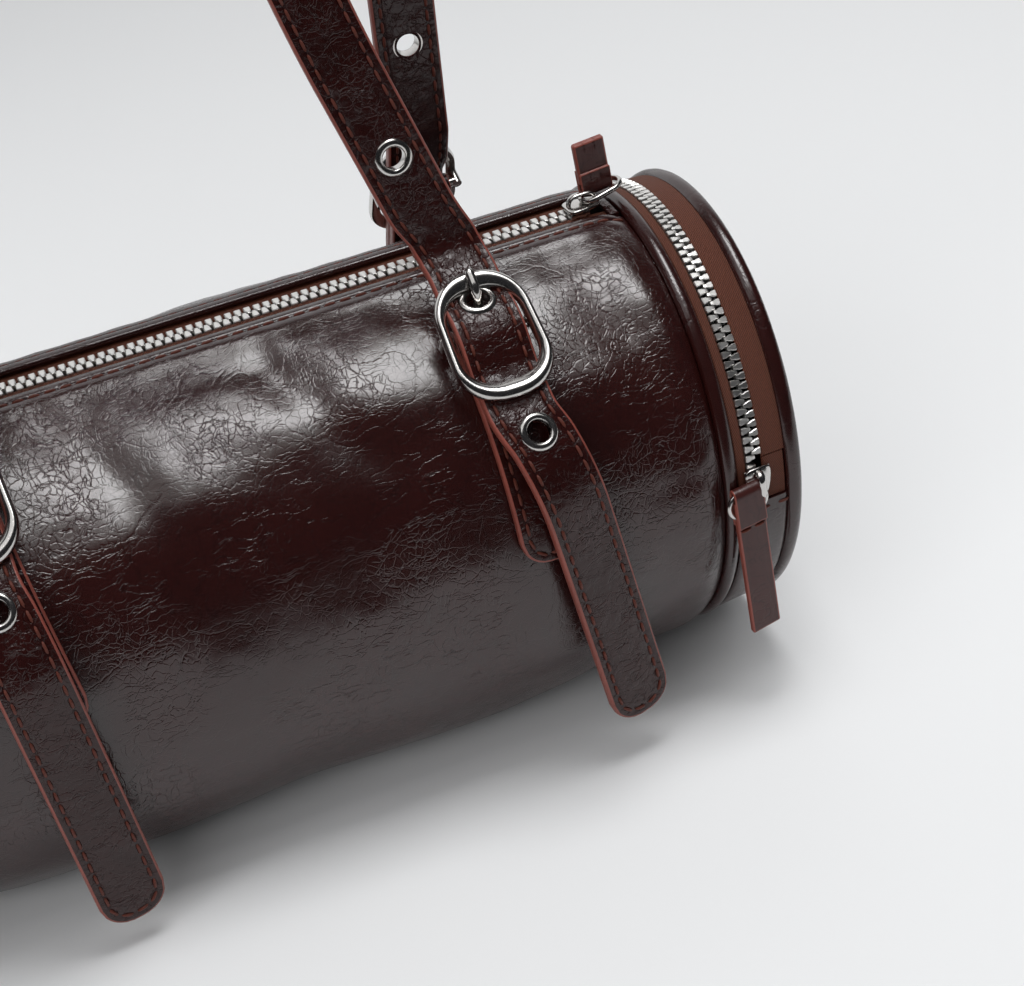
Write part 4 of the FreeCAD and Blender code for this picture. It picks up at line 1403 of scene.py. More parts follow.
@dataclass
class EndPocket:
    """Zipped pocket at the right end: gusset, tapes, chain, rim and the lid that opens."""

    kit: Haberdashery
    barrel: Barrel
    fold_reach: float = 9.0
    cloth_start: float = 600.0
    gusset_thick: float = 2.6
    gusset_proud: float = 0.9
    gusset_gap: float = 0.25
    gusset_seam: float = 2.0
    tuck: float = 0.5
    lap: float = 0.6
    full: float = 1.2

    def band(self, name: str, edges: Tuple[float, float], angles: Tuple[float, float],
             high: float = BAG.gusset_r, thick: float = BAG.tape, finish: Finish = TWILL) -> Piece:
        """A curved strip round the bag's axis.

        Args:
            name: piece name.
            edges: first and last place along the bag.
            angles: first and last angle.
            high: radius of the outer face.
            thick: thickness of the strip.
            finish: finish of the strip.

        Returns:
            The finished object.
        """
        draft = Draft()
        turn = np.linspace(angles[0], angles[1], max(12, int(abs(angles[1] - angles[0]) / 1.4)))
        mid = high - thick / 2
        round_edge = thick / 2
        profile = [(edges[0], mid), (edges[0] + 0.3 * round_edge, mid + 0.75 * round_edge),
                   (edges[0] + round_edge, high)]
        profile += [(x, high) for x in np.linspace(edges[0] + round_edge, edges[1] - round_edge, 8)[1:-1]]
        profile += [(edges[1] - round_edge, high), (edges[1] - 0.3 * round_edge, mid + 0.75 * round_edge),
                    (edges[1], mid)]
        profile += [(x, 2 * mid - r) for x, r in profile[-2:0:-1]]
        pairs = np.array(profile)
        net = round_point(pairs[None, :, 0], pairs[None, :, 1], turn[:, None])
        net[..., 2] = np.maximum(net[..., 2], BAG.gap)
        around = np.radians(turn)[:, None] * high
        marks = np.stack(np.broadcast_arrays(around, pairs[None, :, 0]), axis=-1) + self.cloth_start
        draft.net(net, ring_v=True, marks=marks, caps=True)
        return draft.piece(name, [finish], sharp=50)

    def tape_with_ends(self) -> Piece:
        """Body-side tape, with the closed ends of the tape below the chain.

        Returns:
            The finished object.
        """
        edge, foot = BAG.chain_x - BAG.tooth_reach, BAG.chain_x + BAG.tooth_reach
        cuts = [((BAG.pocket_left - self.lap, edge), (-BAG.gusset_angle, BAG.gusset_angle))]
        for left, low, high in ((edge, BAG.slider_angle, BAG.gusset_angle),
                                (foot, BAG.lid_angle, BAG.slider_angle)):
            cuts += [((left, BAG.pocket_right), angles) for angles in ((low, high), (-high, -low))]
        parts = [self.band("pocket_tape_body", edges, angles) for edges, angles in cuts]
        work = bmesh.new()
        for part in parts:
            work.from_mesh(part.data)
        work.to_mesh(parts[0].data)
        work.free()
        for part in parts[1:]:
            bpy.data.objects.remove(part)
        return parts[0]

    def chain(self, name: str, side: int, limit: float, shape: Piece) -> Piece:
        """One row of teeth round the pocket.

        Args:
            name: piece name.
            side: -1 for the body's row, 1 for the lid's.
            limit: angle of the last tooth.
            shape: the tooth.

        Returns:
            The finished object.
        """
        radius = BAG.gusset_r - BAG.tape / 2
        step = math.degrees(BAG.tooth_pitch / radius)
        count = int(2 * limit / step)
        count -= count % 2
        first = -step * (count - 1) / 2 + (step / 2 if side > 0 else 0)
        angles = np.linspace(first, first + step * (count - 1), 4 * (count - 1) + 1)
        angles = angles if side < 0 else angles[::-1]
        path = round_point(BAG.chain_x, radius, angles)
        chord = float(np.linalg.norm(np.diff(path, axis=0), axis=1).sum()) / (count - 1)
        return self.kit.runs.lay(name, [(path, outward_at(angles))], shape, 0.9999 * chord, TEETH_NICKEL)

    def build(self) -> None:
        """Make the pocket and let its lid bend open."""
        gusset_edge = BAG.gusset_angle + self.gusset_gap
        high = BAG.gusset_r + self.gusset_proud
        gusset = self.band("pocket_gusset_wall", (BAG.pocket_left - self.tuck, BAG.pocket_right + self.tuck),
                           (gusset_edge, 360 - gusset_edge), high, self.gusset_thick, BODY_LEATHER)
        settle(leaned(gusset), "bag", ["pocket_gusset"])
        x = np.linspace(BAG.pocket_left + 1.6, BAG.pocket_right - 1.2, 24)
        sewn = gusset_edge + self.gusset_seam
        lines = [(round_point(x, high - 0.05, angle), outward_at(angle)) for angle in (sewn, 360 - sewn)]
        settle(leaned(self.kit.sew("gusset_stitches", lines)), "bag")
        settle(leaned(self.tape_with_ends()), "bag", ["pocket_tape_fixed"])
        limit = BAG.lid_angle - BAG.gap
        edges = (BAG.chain_x + BAG.tooth_reach, BAG.pocket_right + self.lap)
        lid_tape = self.band("pocket_tape_outer", edges, (-limit, limit))
        settle(leaned(lid_tape), "pocket_lid", ["pocket_tape_lid"])
        tooth = self.kit.tooth("pocket_tooth_shape")
        chain = self.chain("pocket_chain_body", -1, BAG.slider_angle, tooth)
        settle(leaned(chain), "bag", ["pocket_teeth_fixed"])
        chain = self.chain("pocket_chain_lid", 1, BAG.lid_angle - 1, tooth)
        settle(leaned(chain), "pocket_lid", ["pocket_teeth_lid"])
        rim = self.barrel.seam_ring("end_seam_ring", BAG.right_x, BAG.ring_r, BAG.piping)
        face = self.barrel.disc("end_disc", BAG.right_x, BAG.disc_r, self.full, [BODY_LEATHER, LINING])
        for piece, node in ((rim, "end_piping"), (face, "end_panel")):
            bridge_joint(leaned(piece), [node + "_base", node + "_lid"])


# Half outline of a slider's plate, from its blunt to its pointed end.
SLIDER_PLATE = ((-5.5, 2.6), (-5.1, 3.7), (-4.0, 4.35), (-2.0, 4.4), (0.5, 4.1), (2.8, 3.5), (4.4, 2.7),
                (5.5, 1.4))
# Side lips of a slider: first and last place along it, and their middle and half width across.
LIP_ENDS, LIP_AT, LIP_HALF = (-5.0, 0.8), 3.9, 0.45


@dataclass
class ZipPull:
    """Slider, ring and leather pull of one zip, drawn with the slider at the top of the bag."""

    kit: Haberdashery
    name: str
    teeth_mid: float
    pull_length: float
    flap: float = 9.4
    spread: float = 0.45
    ring_long: float = 14.4
    ring_short: float = 9.4
    wire: float = 1.7
    pull_half: float = 5.0
    pull_thick: float = 2.6
    fold_thick: float = 1.1
    plate_room: float = 0.202
    plate_thick: float = 1.35
    ring_lift: float = 2.55
    lip_drop: float = 0.75
    lip_rise: float = 0.6
    bridge_foot: float = 0.7
    bridge_high: float = 4.45
    bridge_half: float = 4.3
    bridge_bend: float = 2.6
    bridge_wire: float = 0.68
    drawn_in: bool = False

    @property
    def plate_low(self) -> float:
        """Underside of the slider's plate, from the bag's axis."""
        return self.teeth_mid + BAG.tooth_height / 2 + self.plate_room + BAG.gap

    @property
    def ring_z(self) -> float:
        """Height of the ring's wire under the slider's bridge."""
        return self.plate_low + self.ring_lift

    def slider(self) -> Draft:
        """The slider: shield-shaped plate, side lips and an arched bridge.

        Returns:
            A draft with the slider's middle at x zero and Z from the bag's axis.
        """
        draft = Draft()
        low = self.plate_low
        outline = [(x, -y) for x, y in SLIDER_PLATE] + [(x, y) for x, y in SLIDER_PLATE[::-1]]
        draft.slab(outline, low, low + self.plate_thick, 0.4)
        for side in (-1, 1):
            near, far = side * LIP_AT - LIP_HALF, side * LIP_AT + LIP_HALF
            lip = [(LIP_ENDS[0], near), (LIP_ENDS[1], near), (LIP_ENDS[1], far), (LIP_ENDS[0], far)]
            draft.slab(lip, low - self.lip_drop, low + self.lip_rise, 0.2)
        foot, top, half = low + self.bridge_foot, low + self.bridge_high, self.bridge_half
        corners = [(-half, foot), (-half, top), (half, top), (half, foot)]
        arch = rounded_path(corners, [self.bridge_bend] * 2, 0.6)
        path = np.column_stack([arch[:, 0], np.zeros(len(arch)), arch[:, 1]])
        draft.tube(path, self.bridge_wire, sides=12, flat=(1.75, 0.95), first=Vector((0, 1, 0)))
        return draft

    def ring(self) -> Array:
        """Middle line of the oval ring in the XY plane, its left end at the origin.

        Returns:
            Array of points.
        """
        radius = (self.ring_short - self.wire) / 2
        run = self.ring_long - self.ring_short
        right = np.radians(np.linspace(-90, 90, 25))
        left = np.radians(np.linspace(90, 270, 25))
        first = np.column_stack([radius + run + radius * np.cos(right), radius * np.sin(right)])
        last = np.column_stack([radius + radius * np.cos(left), radius * np.sin(left)])
        loop = np.vstack([first, last])
        return np.column_stack([loop, np.zeros(len(loop))])

    def pull_ribbons(self) -> Tuple[Ribbon, Ribbon]:
        """Lines of the pull's strip and of the fold round the ring, hanging down from the origin.

        Returns:
            Ribbons of the strip and of the fold.
        """
        z = np.linspace(-2.2, -self.pull_length, 40)
        flat = np.column_stack([np.zeros(len(z)), np.zeros(len(z)), z])
        strip = Ribbon(flat, -X_AXIS, np.array([0.0, -1.0, 0.0]))
        reach = self.pull_thick / 2 + self.spread
        down = np.linspace(-self.flap, 0, 14)[:-1]
        over = np.radians(np.linspace(180, 0, 20))
        y = np.concatenate([np.full(len(down), -reach), reach * np.cos(over), np.full(len(down), reach)])
        z = np.concatenate([down, reach * np.sin(over), down[::-1]])
        ahead = np.gradient(np.column_stack([y, z]), axis=0)
        ahead /= np.linalg.norm(ahead, axis=1)[:, None]
        spots = np.column_stack([np.zeros(len(y)), y, z])
        outward = np.column_stack([np.zeros(len(y)), -ahead[:, 1], ahead[:, 0]])
        return strip, Ribbon(spots, X_AXIS, outward)

    def pull(self) -> Tuple[Draft, List[Line]]:
        """The leather pull and its two stitches, hanging down from the origin.

        Returns:
            A draft of the pull, and its sewing line.
        """
        draft = Draft()
        strip, fold = self.pull_ribbons()
        StripCut(strip.length, self.pull_half, self.pull_thick, tip_round=0.7, cut_end=True, groove=0.0,
                 seam=2.0, crown=0.12, edge=0.7, step=1.6).build(draft, strip)
        StripCut(fold.length, self.pull_half - 0.05, self.fold_thick, tip_round=0.5, cut_start=True,
                 cut_end=True, groove=0.0, seam=2.0, crown=0.05, edge=0.4, step=0.9).build(draft, fold)
        line = np.zeros((12, 3)) + np.array([0, -self.pull_thick / 2 - 0.18, -self.flap - 1.2])
        line[:, 0] = np.linspace(-2.4, 2.4, len(line))
        return draft, [(line, np.array([0.0, -1.0, 0.0]))]

    @staticmethod
    def placed(points: Array, place: Matrix, degrees: float) -> Array:
        """Move points by a matrix, then turn them about the bag's axis."""
        moved = np.asarray(points) @ np.array(place.to_3x3()).T + np.array(place.translation)
        return turn_about_bag(moved, degrees)

    def finish(self, slider_place: Matrix, ring_place: Matrix, pull_place: Matrix, degrees: float,
               fold: Optional[Line] = None) -> None:
        """Place the three pieces and let them ride.

        Args:
            slider_place: slider's place at the top of the bag.
            ring_place: ring's place there.
            pull_place: pull's place there.
            degrees: angle of the whole about the bag's axis.
            fold: given for a pull that rides on no body; only whether it is given counts.
        """
        body, ring_body, pull_body = (self.name + word for word in ("_slider", "_ring", "_pull"))
        draft = self.slider()
        draft.points = [self.placed(points, slider_place, degrees) for points in draft.points]
        slider = draft.piece(self.name + "_zip_slider", [NICKEL], sharp=45)
        settle(leaned(slider, self.drawn_in), body, [body])
        draft = Draft()
        draft.tube(self.placed(self.ring(), ring_place, degrees), self.wire / 2, sides=14, closed=True,
                   first=Vector((0.3, 0.5, 1)))
        ring = draft.piece(self.name + "_zip_ring", [NICKEL], sharp=60)
        settle(leaned(ring, self.drawn_in), ring_body, [ring_body])
        draft, lines = self.pull()
        draft.points = [self.placed(points, pull_place, degrees) for points in draft.points]
        pull = leaned(draft.piece(self.name + "_zip_pull", [PULL_LEATHER, EDGE], sharp=50), self.drawn_in)
        sewn = []
        for line, outward in lines:
            spot = self.placed(line, pull_place, degrees)
            sewn.append((spot, self.placed(line + outward, pull_place, degrees) - spot))
        stitches = leaned(self.kit.sew(self.name + "_pull_stitches", sewn), self.drawn_in)
        if fold is None:
            settle(pull, pull_body, [pull_body])
            settle(stitches, pull_body)
            return
        bridge_joint(pull, [pull_body])
        bridge_joint(stitches)


# Columns of points across half of the top zip's tape, from the chain to under the hem.
TAPE_COLUMNS = (2.66, 3.0, 4.2, 5.6, 7.0, 8.4, 10.0, 12.0, 13.4, 13.5)


@dataclass
class TopZip:
    """Long zip along the top: tapes, chain, end tabs, slider and pull."""

    kit: Haberdashery
    mouth_left: float = BAG.body_left + BAG.mouth_end
    mouth_right: float = BAG.body_right - BAG.mouth_end
    tooth_clasp: float = 0.9
    tab_length: float = 2.4
    tab_lift: float = 0.75
    tape_sag: float = 0.25
    ripple: float = 0.12
    ripple_mm: float = 14.0
    cloth_start: float = 400.0
    tab_thick: float = 1.4
    tab_angle: float = 6.2
    ring_tilt: float = 14.0
    pull_lean: float = 5.0
    pull_length: float = 15.5
    pull_flap: float = 6.0

    def tape(self, name: str, side: int) -> Piece:
        """One half of the tape, dipping a little towards the chain.

        Args:
            name: piece name.
            side: -1 for the front half, 1 for the back one.

        Returns:
            The finished object.
        """
        draft = Draft()
        x = np.linspace(self.mouth_left, self.mouth_right, 120)
        reach = np.array(TAPE_COLUMNS)
        radius = np.full(reach.shape, BAG.tape_r)
        radius[0] -= BAG.tape / 2
        radius[-1] -= BAG.tape / 2
        low = np.full(reach.shape, BAG.tape_r - BAG.tape)
        loop_y = np.concatenate([reach, reach[-2:0:-1]])
        loop_r = np.concatenate([radius, low[-2:0:-1]])
        loose = np.sin(np.clip((loop_y - 3.0) / 6.0, 0, 1) * math.pi)
        height = BAG.axis_z + np.sqrt(loop_r ** 2 - loop_y ** 2) - self.tape_sag * loose
        spots = [Vector((place / self.ripple_mm, side * 3.0, 0.5)) for place in x]
        ripple = self.ripple * np.array([noise.noise(spot) for spot in spots])
        net = np.zeros((len(x), len(loop_y), 3))
        net[..., 0] = x[:, None]
        net[..., 1] = side * loop_y[None, :]
        net[..., 2] = height[None, :] + ripple[:, None] * loose
        marks = np.stack(np.broadcast_arrays(x[:, None], loop_y[None, :]), axis=-1) + self.cloth_start
        draft.net(net, ring_v=True, marks=marks, caps=True)
        return draft.piece(name, [TWILL], sharp=50)

    def chain(self, name: str, side: int, shape: Piece) -> Piece:
        """One row of teeth along the top.

        Args:
            name: piece name.
            side: -1 for the front row, 1 for the back one.
            shape: the tooth.

        Returns:
            The finished object.
        """
        length = self.mouth_right - self.mouth_left - 2 * self.tab_length - 2 * BAG.tooth_pitch
        count = int(length / BAG.tooth_pitch)
        first = (self.mouth_left + self.mouth_right - count * BAG.tooth_pitch) / 2
        first += BAG.tooth_pitch / 2 if side > 0 else 0
        ends = np.array([first, first + (count - 1) * BAG.tooth_pitch])
        ends = ends if side < 0 else ends[::-1]
        height = BAG.axis_z + BAG.tape_r - BAG.tape / 2
        path = np.column_stack([ends, np.zeros(2), np.full(2, height)])
        upward = np.array([0, 0, 1.0])
        return self.kit.runs.lay(name, [(path, upward)], shape, 0.99999 * BAG.tooth_pitch, TEETH_NICKEL)

    def tab(self, name: str, x: float) -> Piece:
        """Small folded leather tab over one end of the chain.

        Args:
            name: piece name.
            x: its left edge.

        Returns:
            The finished object.
        """
        angles = np.linspace(-self.tab_angle, self.tab_angle, 24)
        path = round_point(x + self.tab_length / 2, BAG.tape_r + self.tab_lift, angles)
        line = Ribbon(path, X_AXIS, outward_at(angles))
        draft = Draft()
        StripCut(line.length, self.tab_length / 2, self.tab_thick, cut_end=True, cut_start=True,
                 tip_round=0.4, groove=0.0, seam=1.0, crown=0.1, edge=0.4, step=0.8).build(draft, line)
        return draft.piece(name, [STRAP_LEATHER, STRAP_LEATHER], sharp=50)

    def build(self) -> None:
        """Make the zip and its pull."""
        for word, side in (("front", -1), ("back", 1)):
            settle(leaned(self.tape("mouth_tape_" + word, side)), "bag", ["top_tape_" + word])
        tooth = self.kit.tooth("top_tooth_shape", self.tooth_clasp)
        for word, side in (("front", -1), ("back", 1)):
            chain = self.chain("mouth_chain_" + word, side, tooth)
            settle(leaned(chain), "bag", ["top_teeth_" + word])
        tab = self.tab("mouth_tab_right", self.mouth_right - BAG.gap - self.tab_length)
        settle(leaned(tab), "bag", ["zip_tab_right"])
        settle(self.tab("mouth_tab_left", self.mouth_left + BAG.gap), "bag", ["zip_tab_left"])
        pull = ZipPull(self.kit, "top", BAG.tape_r - BAG.tape / 2, self.pull_length, self.pull_flap)
        tilt = Matrix.Rotation(math.radians(-self.ring_tilt), 4, "Y")
        ring_place = Matrix.Translation((BAG.slider_x, 0, pull.ring_z)) @ tilt
        hang = Matrix.Translation(((pull.ring_long - pull.wire) / 2, (pull.ring_short - pull.wire) / 2, 0))
        upright = Matrix.Rotation(math.radians(self.ring_tilt - self.pull_lean), 4, "Y")
        pull_place = ring_place @ hang @ upright @ Matrix.Rotation(math.pi, 4, "X")
        pull.finish(Matrix.Translation((BAG.slider_x, 0, 0)), ring_place, pull_place, 0.0)


@dataclass
class PocketZipPull:
    """Slider, ring and pull of the end pocket's zip; the pull is folded over the whole ring."""

    kit: Haberdashery
    ring_shift: float = 4.9
    pull_shift: float = 5.0
    pull_lean: float = 3.0
    pull_length: float = 50.0
    pull_flap: float = 11.0
    fold_start: float = 6.0
    fold_end: float = 10.0

    def build(self) -> None:
        """Make the pieces at the closed end of the chain."""
        pull = ZipPull(self.kit, "pocket", BAG.gusset_r - BAG.tape / 2, self.pull_length, self.pull_flap,
                       drawn_in=True)
        drop = pull.ring_short - pull.wire
        ring_x = BAG.chain_x - self.ring_shift
        pull_x = BAG.chain_x - self.pull_shift
        slider_place = Matrix.Translation((BAG.chain_x, 0, 0)) @ Matrix.Rotation(-math.pi / 2, 4, "Z")
        ring_place = Matrix.Translation((ring_x - (pull.ring_long - pull.wire) / 2, -drop / 2, pull.ring_z))
        lean = Matrix.Rotation(math.radians(self.pull_lean), 4, "Z") @ Matrix.Rotation(-math.pi / 2, 4, "X")
        pull_place = Matrix.Translation((pull_x, 0, pull.ring_z)) @ lean
        fold = tuple(np.array([pull_x, -y, pull.ring_z]) for y in (self.fold_start, self.fold_end))
        pull.finish(slider_place, ring_place, pull_place, BAG.slider_angle, fold)


# Buckle frame's section: share of the way from its inner to its outer edge, and share of its height.
FRAME_SECTION = ((0.0, 0.1), (0.0, 0.34), (0.07, 0.56), (0.2, 0.76), (0.38, 0.92), (0.56, 1.0), (0.74, 0.97),
                 (0.88, 0.83), (0.97, 0.6), (1.0, 0.3), (0.9, 0.0), (0.1, 0.0))
# Prong: places along and out of the bag, bends between them, shares of its thickness at the tip, its loop.
PRONG_CORNERS = ((1.6, 4.5), (5.6, 5.4), (10.6, 12.5), (17.4, 13.0))
PRONG_BENDS = (2.5, 3.0)
PRONG_TIP = (0.97, 0.88, 0.7, 0.4)
PRONG_LOOP = ((1.8, -1.2), (2.75, -1.2), (3.0, -0.9), (3.0, 0.9), (2.75, 1.2), (1.8, 1.2))
# Eyelet: radius and height of its rolled flange over the strap's face, and of its back under the other face.
EYELET_FLANGE = ((3.3, 0.1), (3.45, 0.62), (3.9, 0.98), (4.5, 1.05), (5.1, 0.88), (5.6, 0.5), (5.8, 0.05),
                 (5.5, -0.35), (3.85, -0.4))
EYELET_BACK = ((3.85, 0.3), (5.2, 0.25), (5.3, -0.05), (4.6, -0.22), (3.6, -0.12))


class Facing(Enum):
    """Which side of the bag a pair of straps is on."""

    FRONT = 1
    BACK = -1


@dataclass
class StrapPair:
    """Straps of one side: handle, tails, anchor tabs, buckles, prongs and eyelets."""

    kit: Haberdashery
    facing: Facing
    strap_x: float
    lift: float
    run: float
    lean: float
    tail_leans: Dict[str, float]
    tail_free: Dict[str, float]
    half: float = 10.25
    thick: float = 3.2
    low_n: float = 5.8
    top_n: float = 9.4
    bar_n: float = 3.9
    bar_d: float = 3.0
    saddle_half: float = 3.0
    saddle_foot: float = 13.0
    saddle_bend: float = 5.0
    hinge: float = 25.3
    fade: float = 6.0
    bend: float = 9.0
    tilt: float = 5.0
    handle_length: float = 420.0
    twist_start: float = 0.52
    eyelet_pitch: float = 51.0
    tail_pitch: float = 43.4
    tip_round: float = 9.0
    seam_start: float = 1.5
    sway: float = 3.8
    sway_before: float = 14.0
    sway_run: float = 26.0
    sway_hold: float = 55.0
    sway_fade: float = 90.0
    turn_before: float = 8.0
    turn_run: float = 30.0
    frame_shift: float = -3.0
    frame_taper: float = 0.06
    frame_half: float = 21.0
    frame_outer: Tuple[float, float, float] = (14.7, 20.8, 13.6)
    frame_inner: Tuple[float, float, float] = (11.4, 14.8, 9.0)
    frame_low: float = 7.7
    frame_tall: float = 3.7
    bar_reach: float = 13.4
    post_at: float = 13.0
    post_r: float = 1.6
    post_span: Tuple[float, float] = (2.5, 9.3)
    prong_r: float = 1.45
    eyelet_at: float = 8.0
    hole_r: float = 3.6
    tab_end: float = 85.0
    tab_top: float = -3.4
    tab_out: float = 2.1
    tab_thick: float = 3.5
    tab_round: float = 8.0
    tab_sewn: float = 16.0
    slot_half: float = 1.9
    loop_r: float = 2.7
    loop_angles: Tuple[float, float] = (215.0, -125.0)
    loop_thick: float = 1.7
    tab_shifts: Dict[str, float] = field(default_factory=dict)
    buckled: List[Hole] = field(default_factory=list)

    @property
    def word(self) -> str:
        """Name of the side in piece and node names."""
        return self.facing.name.lower()

    def turned(self, points: Array) -> Array:
        """Turn front points to this side of the bag."""
        return np.asarray(points) * np.array([self.facing.value, self.facing.value, 1.0])

    def local(self, x: Array, along: Array, out: Array) -> Array:
        """Points from strap axes (across, along, out of the bag) to the front of the bag."""
        x, along, out = np.broadcast_arrays(x, along, out)
        return turn_about_bag(np.stack([x, self.run + along, BAG.radius + out], axis=-1), self.lift)

    def direction(self, along: Array, out: Array) -> Array:
        """Directions from strap axes to the front of the bag."""
        zero = np.zeros(np.shape(along))
        return turn_about_bag(np.stack([zero, along, out], axis=-1), self.lift) - AXIS

    def across(self, name: str) -> float:
        """Place of a strap across the front, before the side is turned."""
        return self.strap_x * (1 if name == "right" else -1) * self.facing.value

    def plane_ribbon(self, x: float, path: Array) -> Tuple[Array, Array, Array]:
        """Stations of a strap that runs in its own plane.

        Args:
            x: place across the front.
            path: along and out of each station, from the buckle outwards.

        Returns:
            Spots, cross and outward directions.
        """
        ahead = np.gradient(path, axis=0)
        ahead /= np.linalg.norm(ahead, axis=1)[:, None]
        flip = 1.0 if path[-1, 0] > path[0, 0] else -1.0
        spots = self.local(x, path[:, 0], path[:, 1])
        outward = self.direction(-ahead[:, 1] * flip, ahead[:, 0] * flip)
        return spots, np.broadcast_to(X_AXIS, spots.shape), outward

    def saddle(self, way: int) -> Array:
        """Path of the strap from over the centre bar to its hinge, in the strap's plane.

        Args:
            way: 1 for the way up, -1 for the way down.

        Returns:
            Along and out of each point.
        """
        corners = [(0, self.top_n), (way * self.saddle_half, self.top_n),
                   (way * self.saddle_foot, self.low_n), (way * self.hinge, self.low_n)]
        return rounded_path(corners, [self.saddle_bend] * 2, 1.0)

    def handle_half(self) -> Tuple[Array, Array, Array]:
        """Stations from the right buckle's centre bar to the top of the handle.

        Returns:
            Spots, cross and outward directions in the front's frame.
        """
        path = self.saddle(1)
        spots, across, outward = self.plane_ribbon(self.strap_x, path)
        lean = math.radians(self.lean)
        first, last = math.radians(self.lift), math.radians(90 - self.tilt)
        angles = np.linspace(first, last, max(8, int(self.bend * (last - first))))[1:]
        arc_runs = (angles - last) * self.bend
        start = self.local(self.strap_x, self.hinge, self.low_n)
        centre = start + self.bend * np.array([0, -math.sin(first), math.cos(first)])
        zero = np.zeros(len(angles))
        bend = centre + self.bend * np.stack([zero, np.sin(angles), -np.cos(angles)], axis=-1)
        bend_out = np.stack([zero, -np.sin(angles), np.cos(angles)], axis=-1)
        bend_turn = lean * ease((arc_runs + self.turn_before) / self.turn_run)
        bend_ahead = np.stack([zero, np.cos(angles), np.sin(angles)], axis=-1)
        bend_wide = np.outer(np.cos(bend_turn), X_AXIS) + np.sin(bend_turn)[:, None] * bend_ahead
        up = np.array([0, math.sin(math.radians(self.tilt)), math.cos(math.radians(self.tilt))])
        sweep = math.pi - 2 * lean
        leg = (self.handle_length - self.strap_x / math.cos(lean) * sweep) / (2 - math.tan(lean) * sweep)
        arch = (self.strap_x - leg * math.sin(lean)) / math.cos(lean)
        runs = np.arange(1.5, self.handle_length / 2 + 0.01, 1.5)
        runs = np.append(runs[runs < self.handle_length / 2 - 0.4], self.handle_length / 2)
        turn = lean + np.clip((runs - leg) / arch, 0, None)
        straight = bend[-1] + np.outer(runs * math.cos(lean), up) - np.outer(runs * math.sin(lean), X_AXIS)
        middle = bend[-1] - X_AXIS * self.strap_x + up * (leg * math.cos(lean) - arch * math.sin(lean))
        curved = middle + np.outer(arch * np.cos(turn), X_AXIS) + np.outer(arch * np.sin(turn), up)
        line = np.where((runs < leg)[:, None], straight, curved)
        turn = np.where(runs < leg, lean * ease((runs + self.turn_before) / self.turn_run), turn)
        away = np.outer(np.cos(turn), X_AXIS) + np.outer(np.sin(turn), up)
        ahead = np.outer(np.cos(turn), up) - np.outer(np.sin(turn), X_AXIS)
        front = np.cross(away, ahead)
        share = runs / (self.handle_length / 2)
        twist = -math.pi / 2 * ease((share - self.twist_start) / (1 - self.twist_start))
        wide = away * np.cos(twist)[:, None] + front * np.sin(twist)[:, None]
        out = front * np.cos(twist)[:, None] - away * np.sin(twist)[:, None]
        stations = np.concatenate([path[:, 0] - self.hinge + arc_runs[0], arc_runs, runs])
        sway = self.sway * ease((stations + self.sway_before) / self.sway_run)
        sway *= 1 - ease((stations - self.sway_hold) / self.sway_fade)
        spots = np.vstack([spots, bend, line]) - np.outer(sway, X_AXIS)
        return spots, np.vstack([across, bend_wide, wide]), np.vstack([outward, bend_out, out])

    def handle_ribbon(self) -> Ribbon:
        """Line of the strap from one centre bar over the handle to the other.

        Returns:
            The ribbon in the bag's frame.
        """
        spots, across, outward = self.handle_half()
        mirror = np.array([-1.0, 1, 1])
        both = np.vstack([spots, spots[-2::-1] * mirror])
        wide = np.vstack([across, (across * mirror)[-2::-1]])
        out = np.vstack([outward, (outward * mirror)[-2::-1]])
        return Ribbon(self.turned(both), self.turned(wide), self.turned(out))

    def tail_ribbon(self, name: str) -> Ribbon:
        """Line of a strap's lower end, from the centre bar to the tip.

        Args:
            name: right or left.

        Returns:
            The ribbon in the bag's frame.
        """
        x = self.across(name)
        upper = self.saddle(-1)
        radius = BAG.radius + self.low_n
        turn = math.radians(90 - self.lift)
        corner = -self.run - radius * math.tan(turn / 2)
        before = -self.hinge - corner
        rest = self.tail_free[name] - before
        end = (corner - math.cos(turn) * rest, self.low_n - math.sin(turn) * rest)
        bend = min(radius, before / math.tan(turn / 2)) - self.thick
        lower = rounded_path([(-self.hinge, self.low_n), (corner, self.low_n), end], [bend], 1.0)
        path = np.vstack([upper[:-1], lower])
        steps = np.linalg.norm(np.diff(path, axis=0), axis=1)
        runs = np.concatenate([[0.0], np.cumsum(steps)])
        past = runs - runs[len(upper) - 1]
        angle = math.radians(self.tail_leans[name]) * ease((past + 4.0) / 16.0)
        ahead = np.gradient(path, axis=0)
        ahead /= np.linalg.norm(ahead, axis=1)[:, None]
        below = np.minimum(path[:, 0] + self.hinge, 0.0)
        shift = -below * np.sin(angle)
        along = path[:, 0] - below * (1 - np.cos(angle))
        sway = self.local(x + shift, along, path[:, 1])
        across = np.stack([np.cos(angle), np.sin(angle), np.zeros(len(angle))], axis=-1)
        out = np.stack([-ahead[:, 1] * np.sin(angle), ahead[:, 1] * np.cos(angle), -ahead[:, 0]], axis=-1)
        across = turn_about_bag(across, self.lift) - AXIS
        out = turn_about_bag(out, self.lift) - AXIS
        return Ribbon(self.turned(sway), self.turned(across), self.turned(out))

    def eyelet(self, draft: Draft, spot: Array, across: Array, outward: Array) -> None:
        """Add one rolled metal eyelet.

        Args:
            draft: draft that gets it.
            spot: its place on the strap's middle.
            across: cross direction of the strap there.
            outward: outward direction there.
        """
        profile = [(EYELET_FLANGE[0][0], 0.0)] + [(r, self.thick / 2 + n) for r, n in EYELET_FLANGE]
        profile += [(r, n - self.thick / 2) for r, n in EYELET_BACK]
        draft.lathe(profile, 36, np.array([across, np.cross(outward, across), outward]), spot)

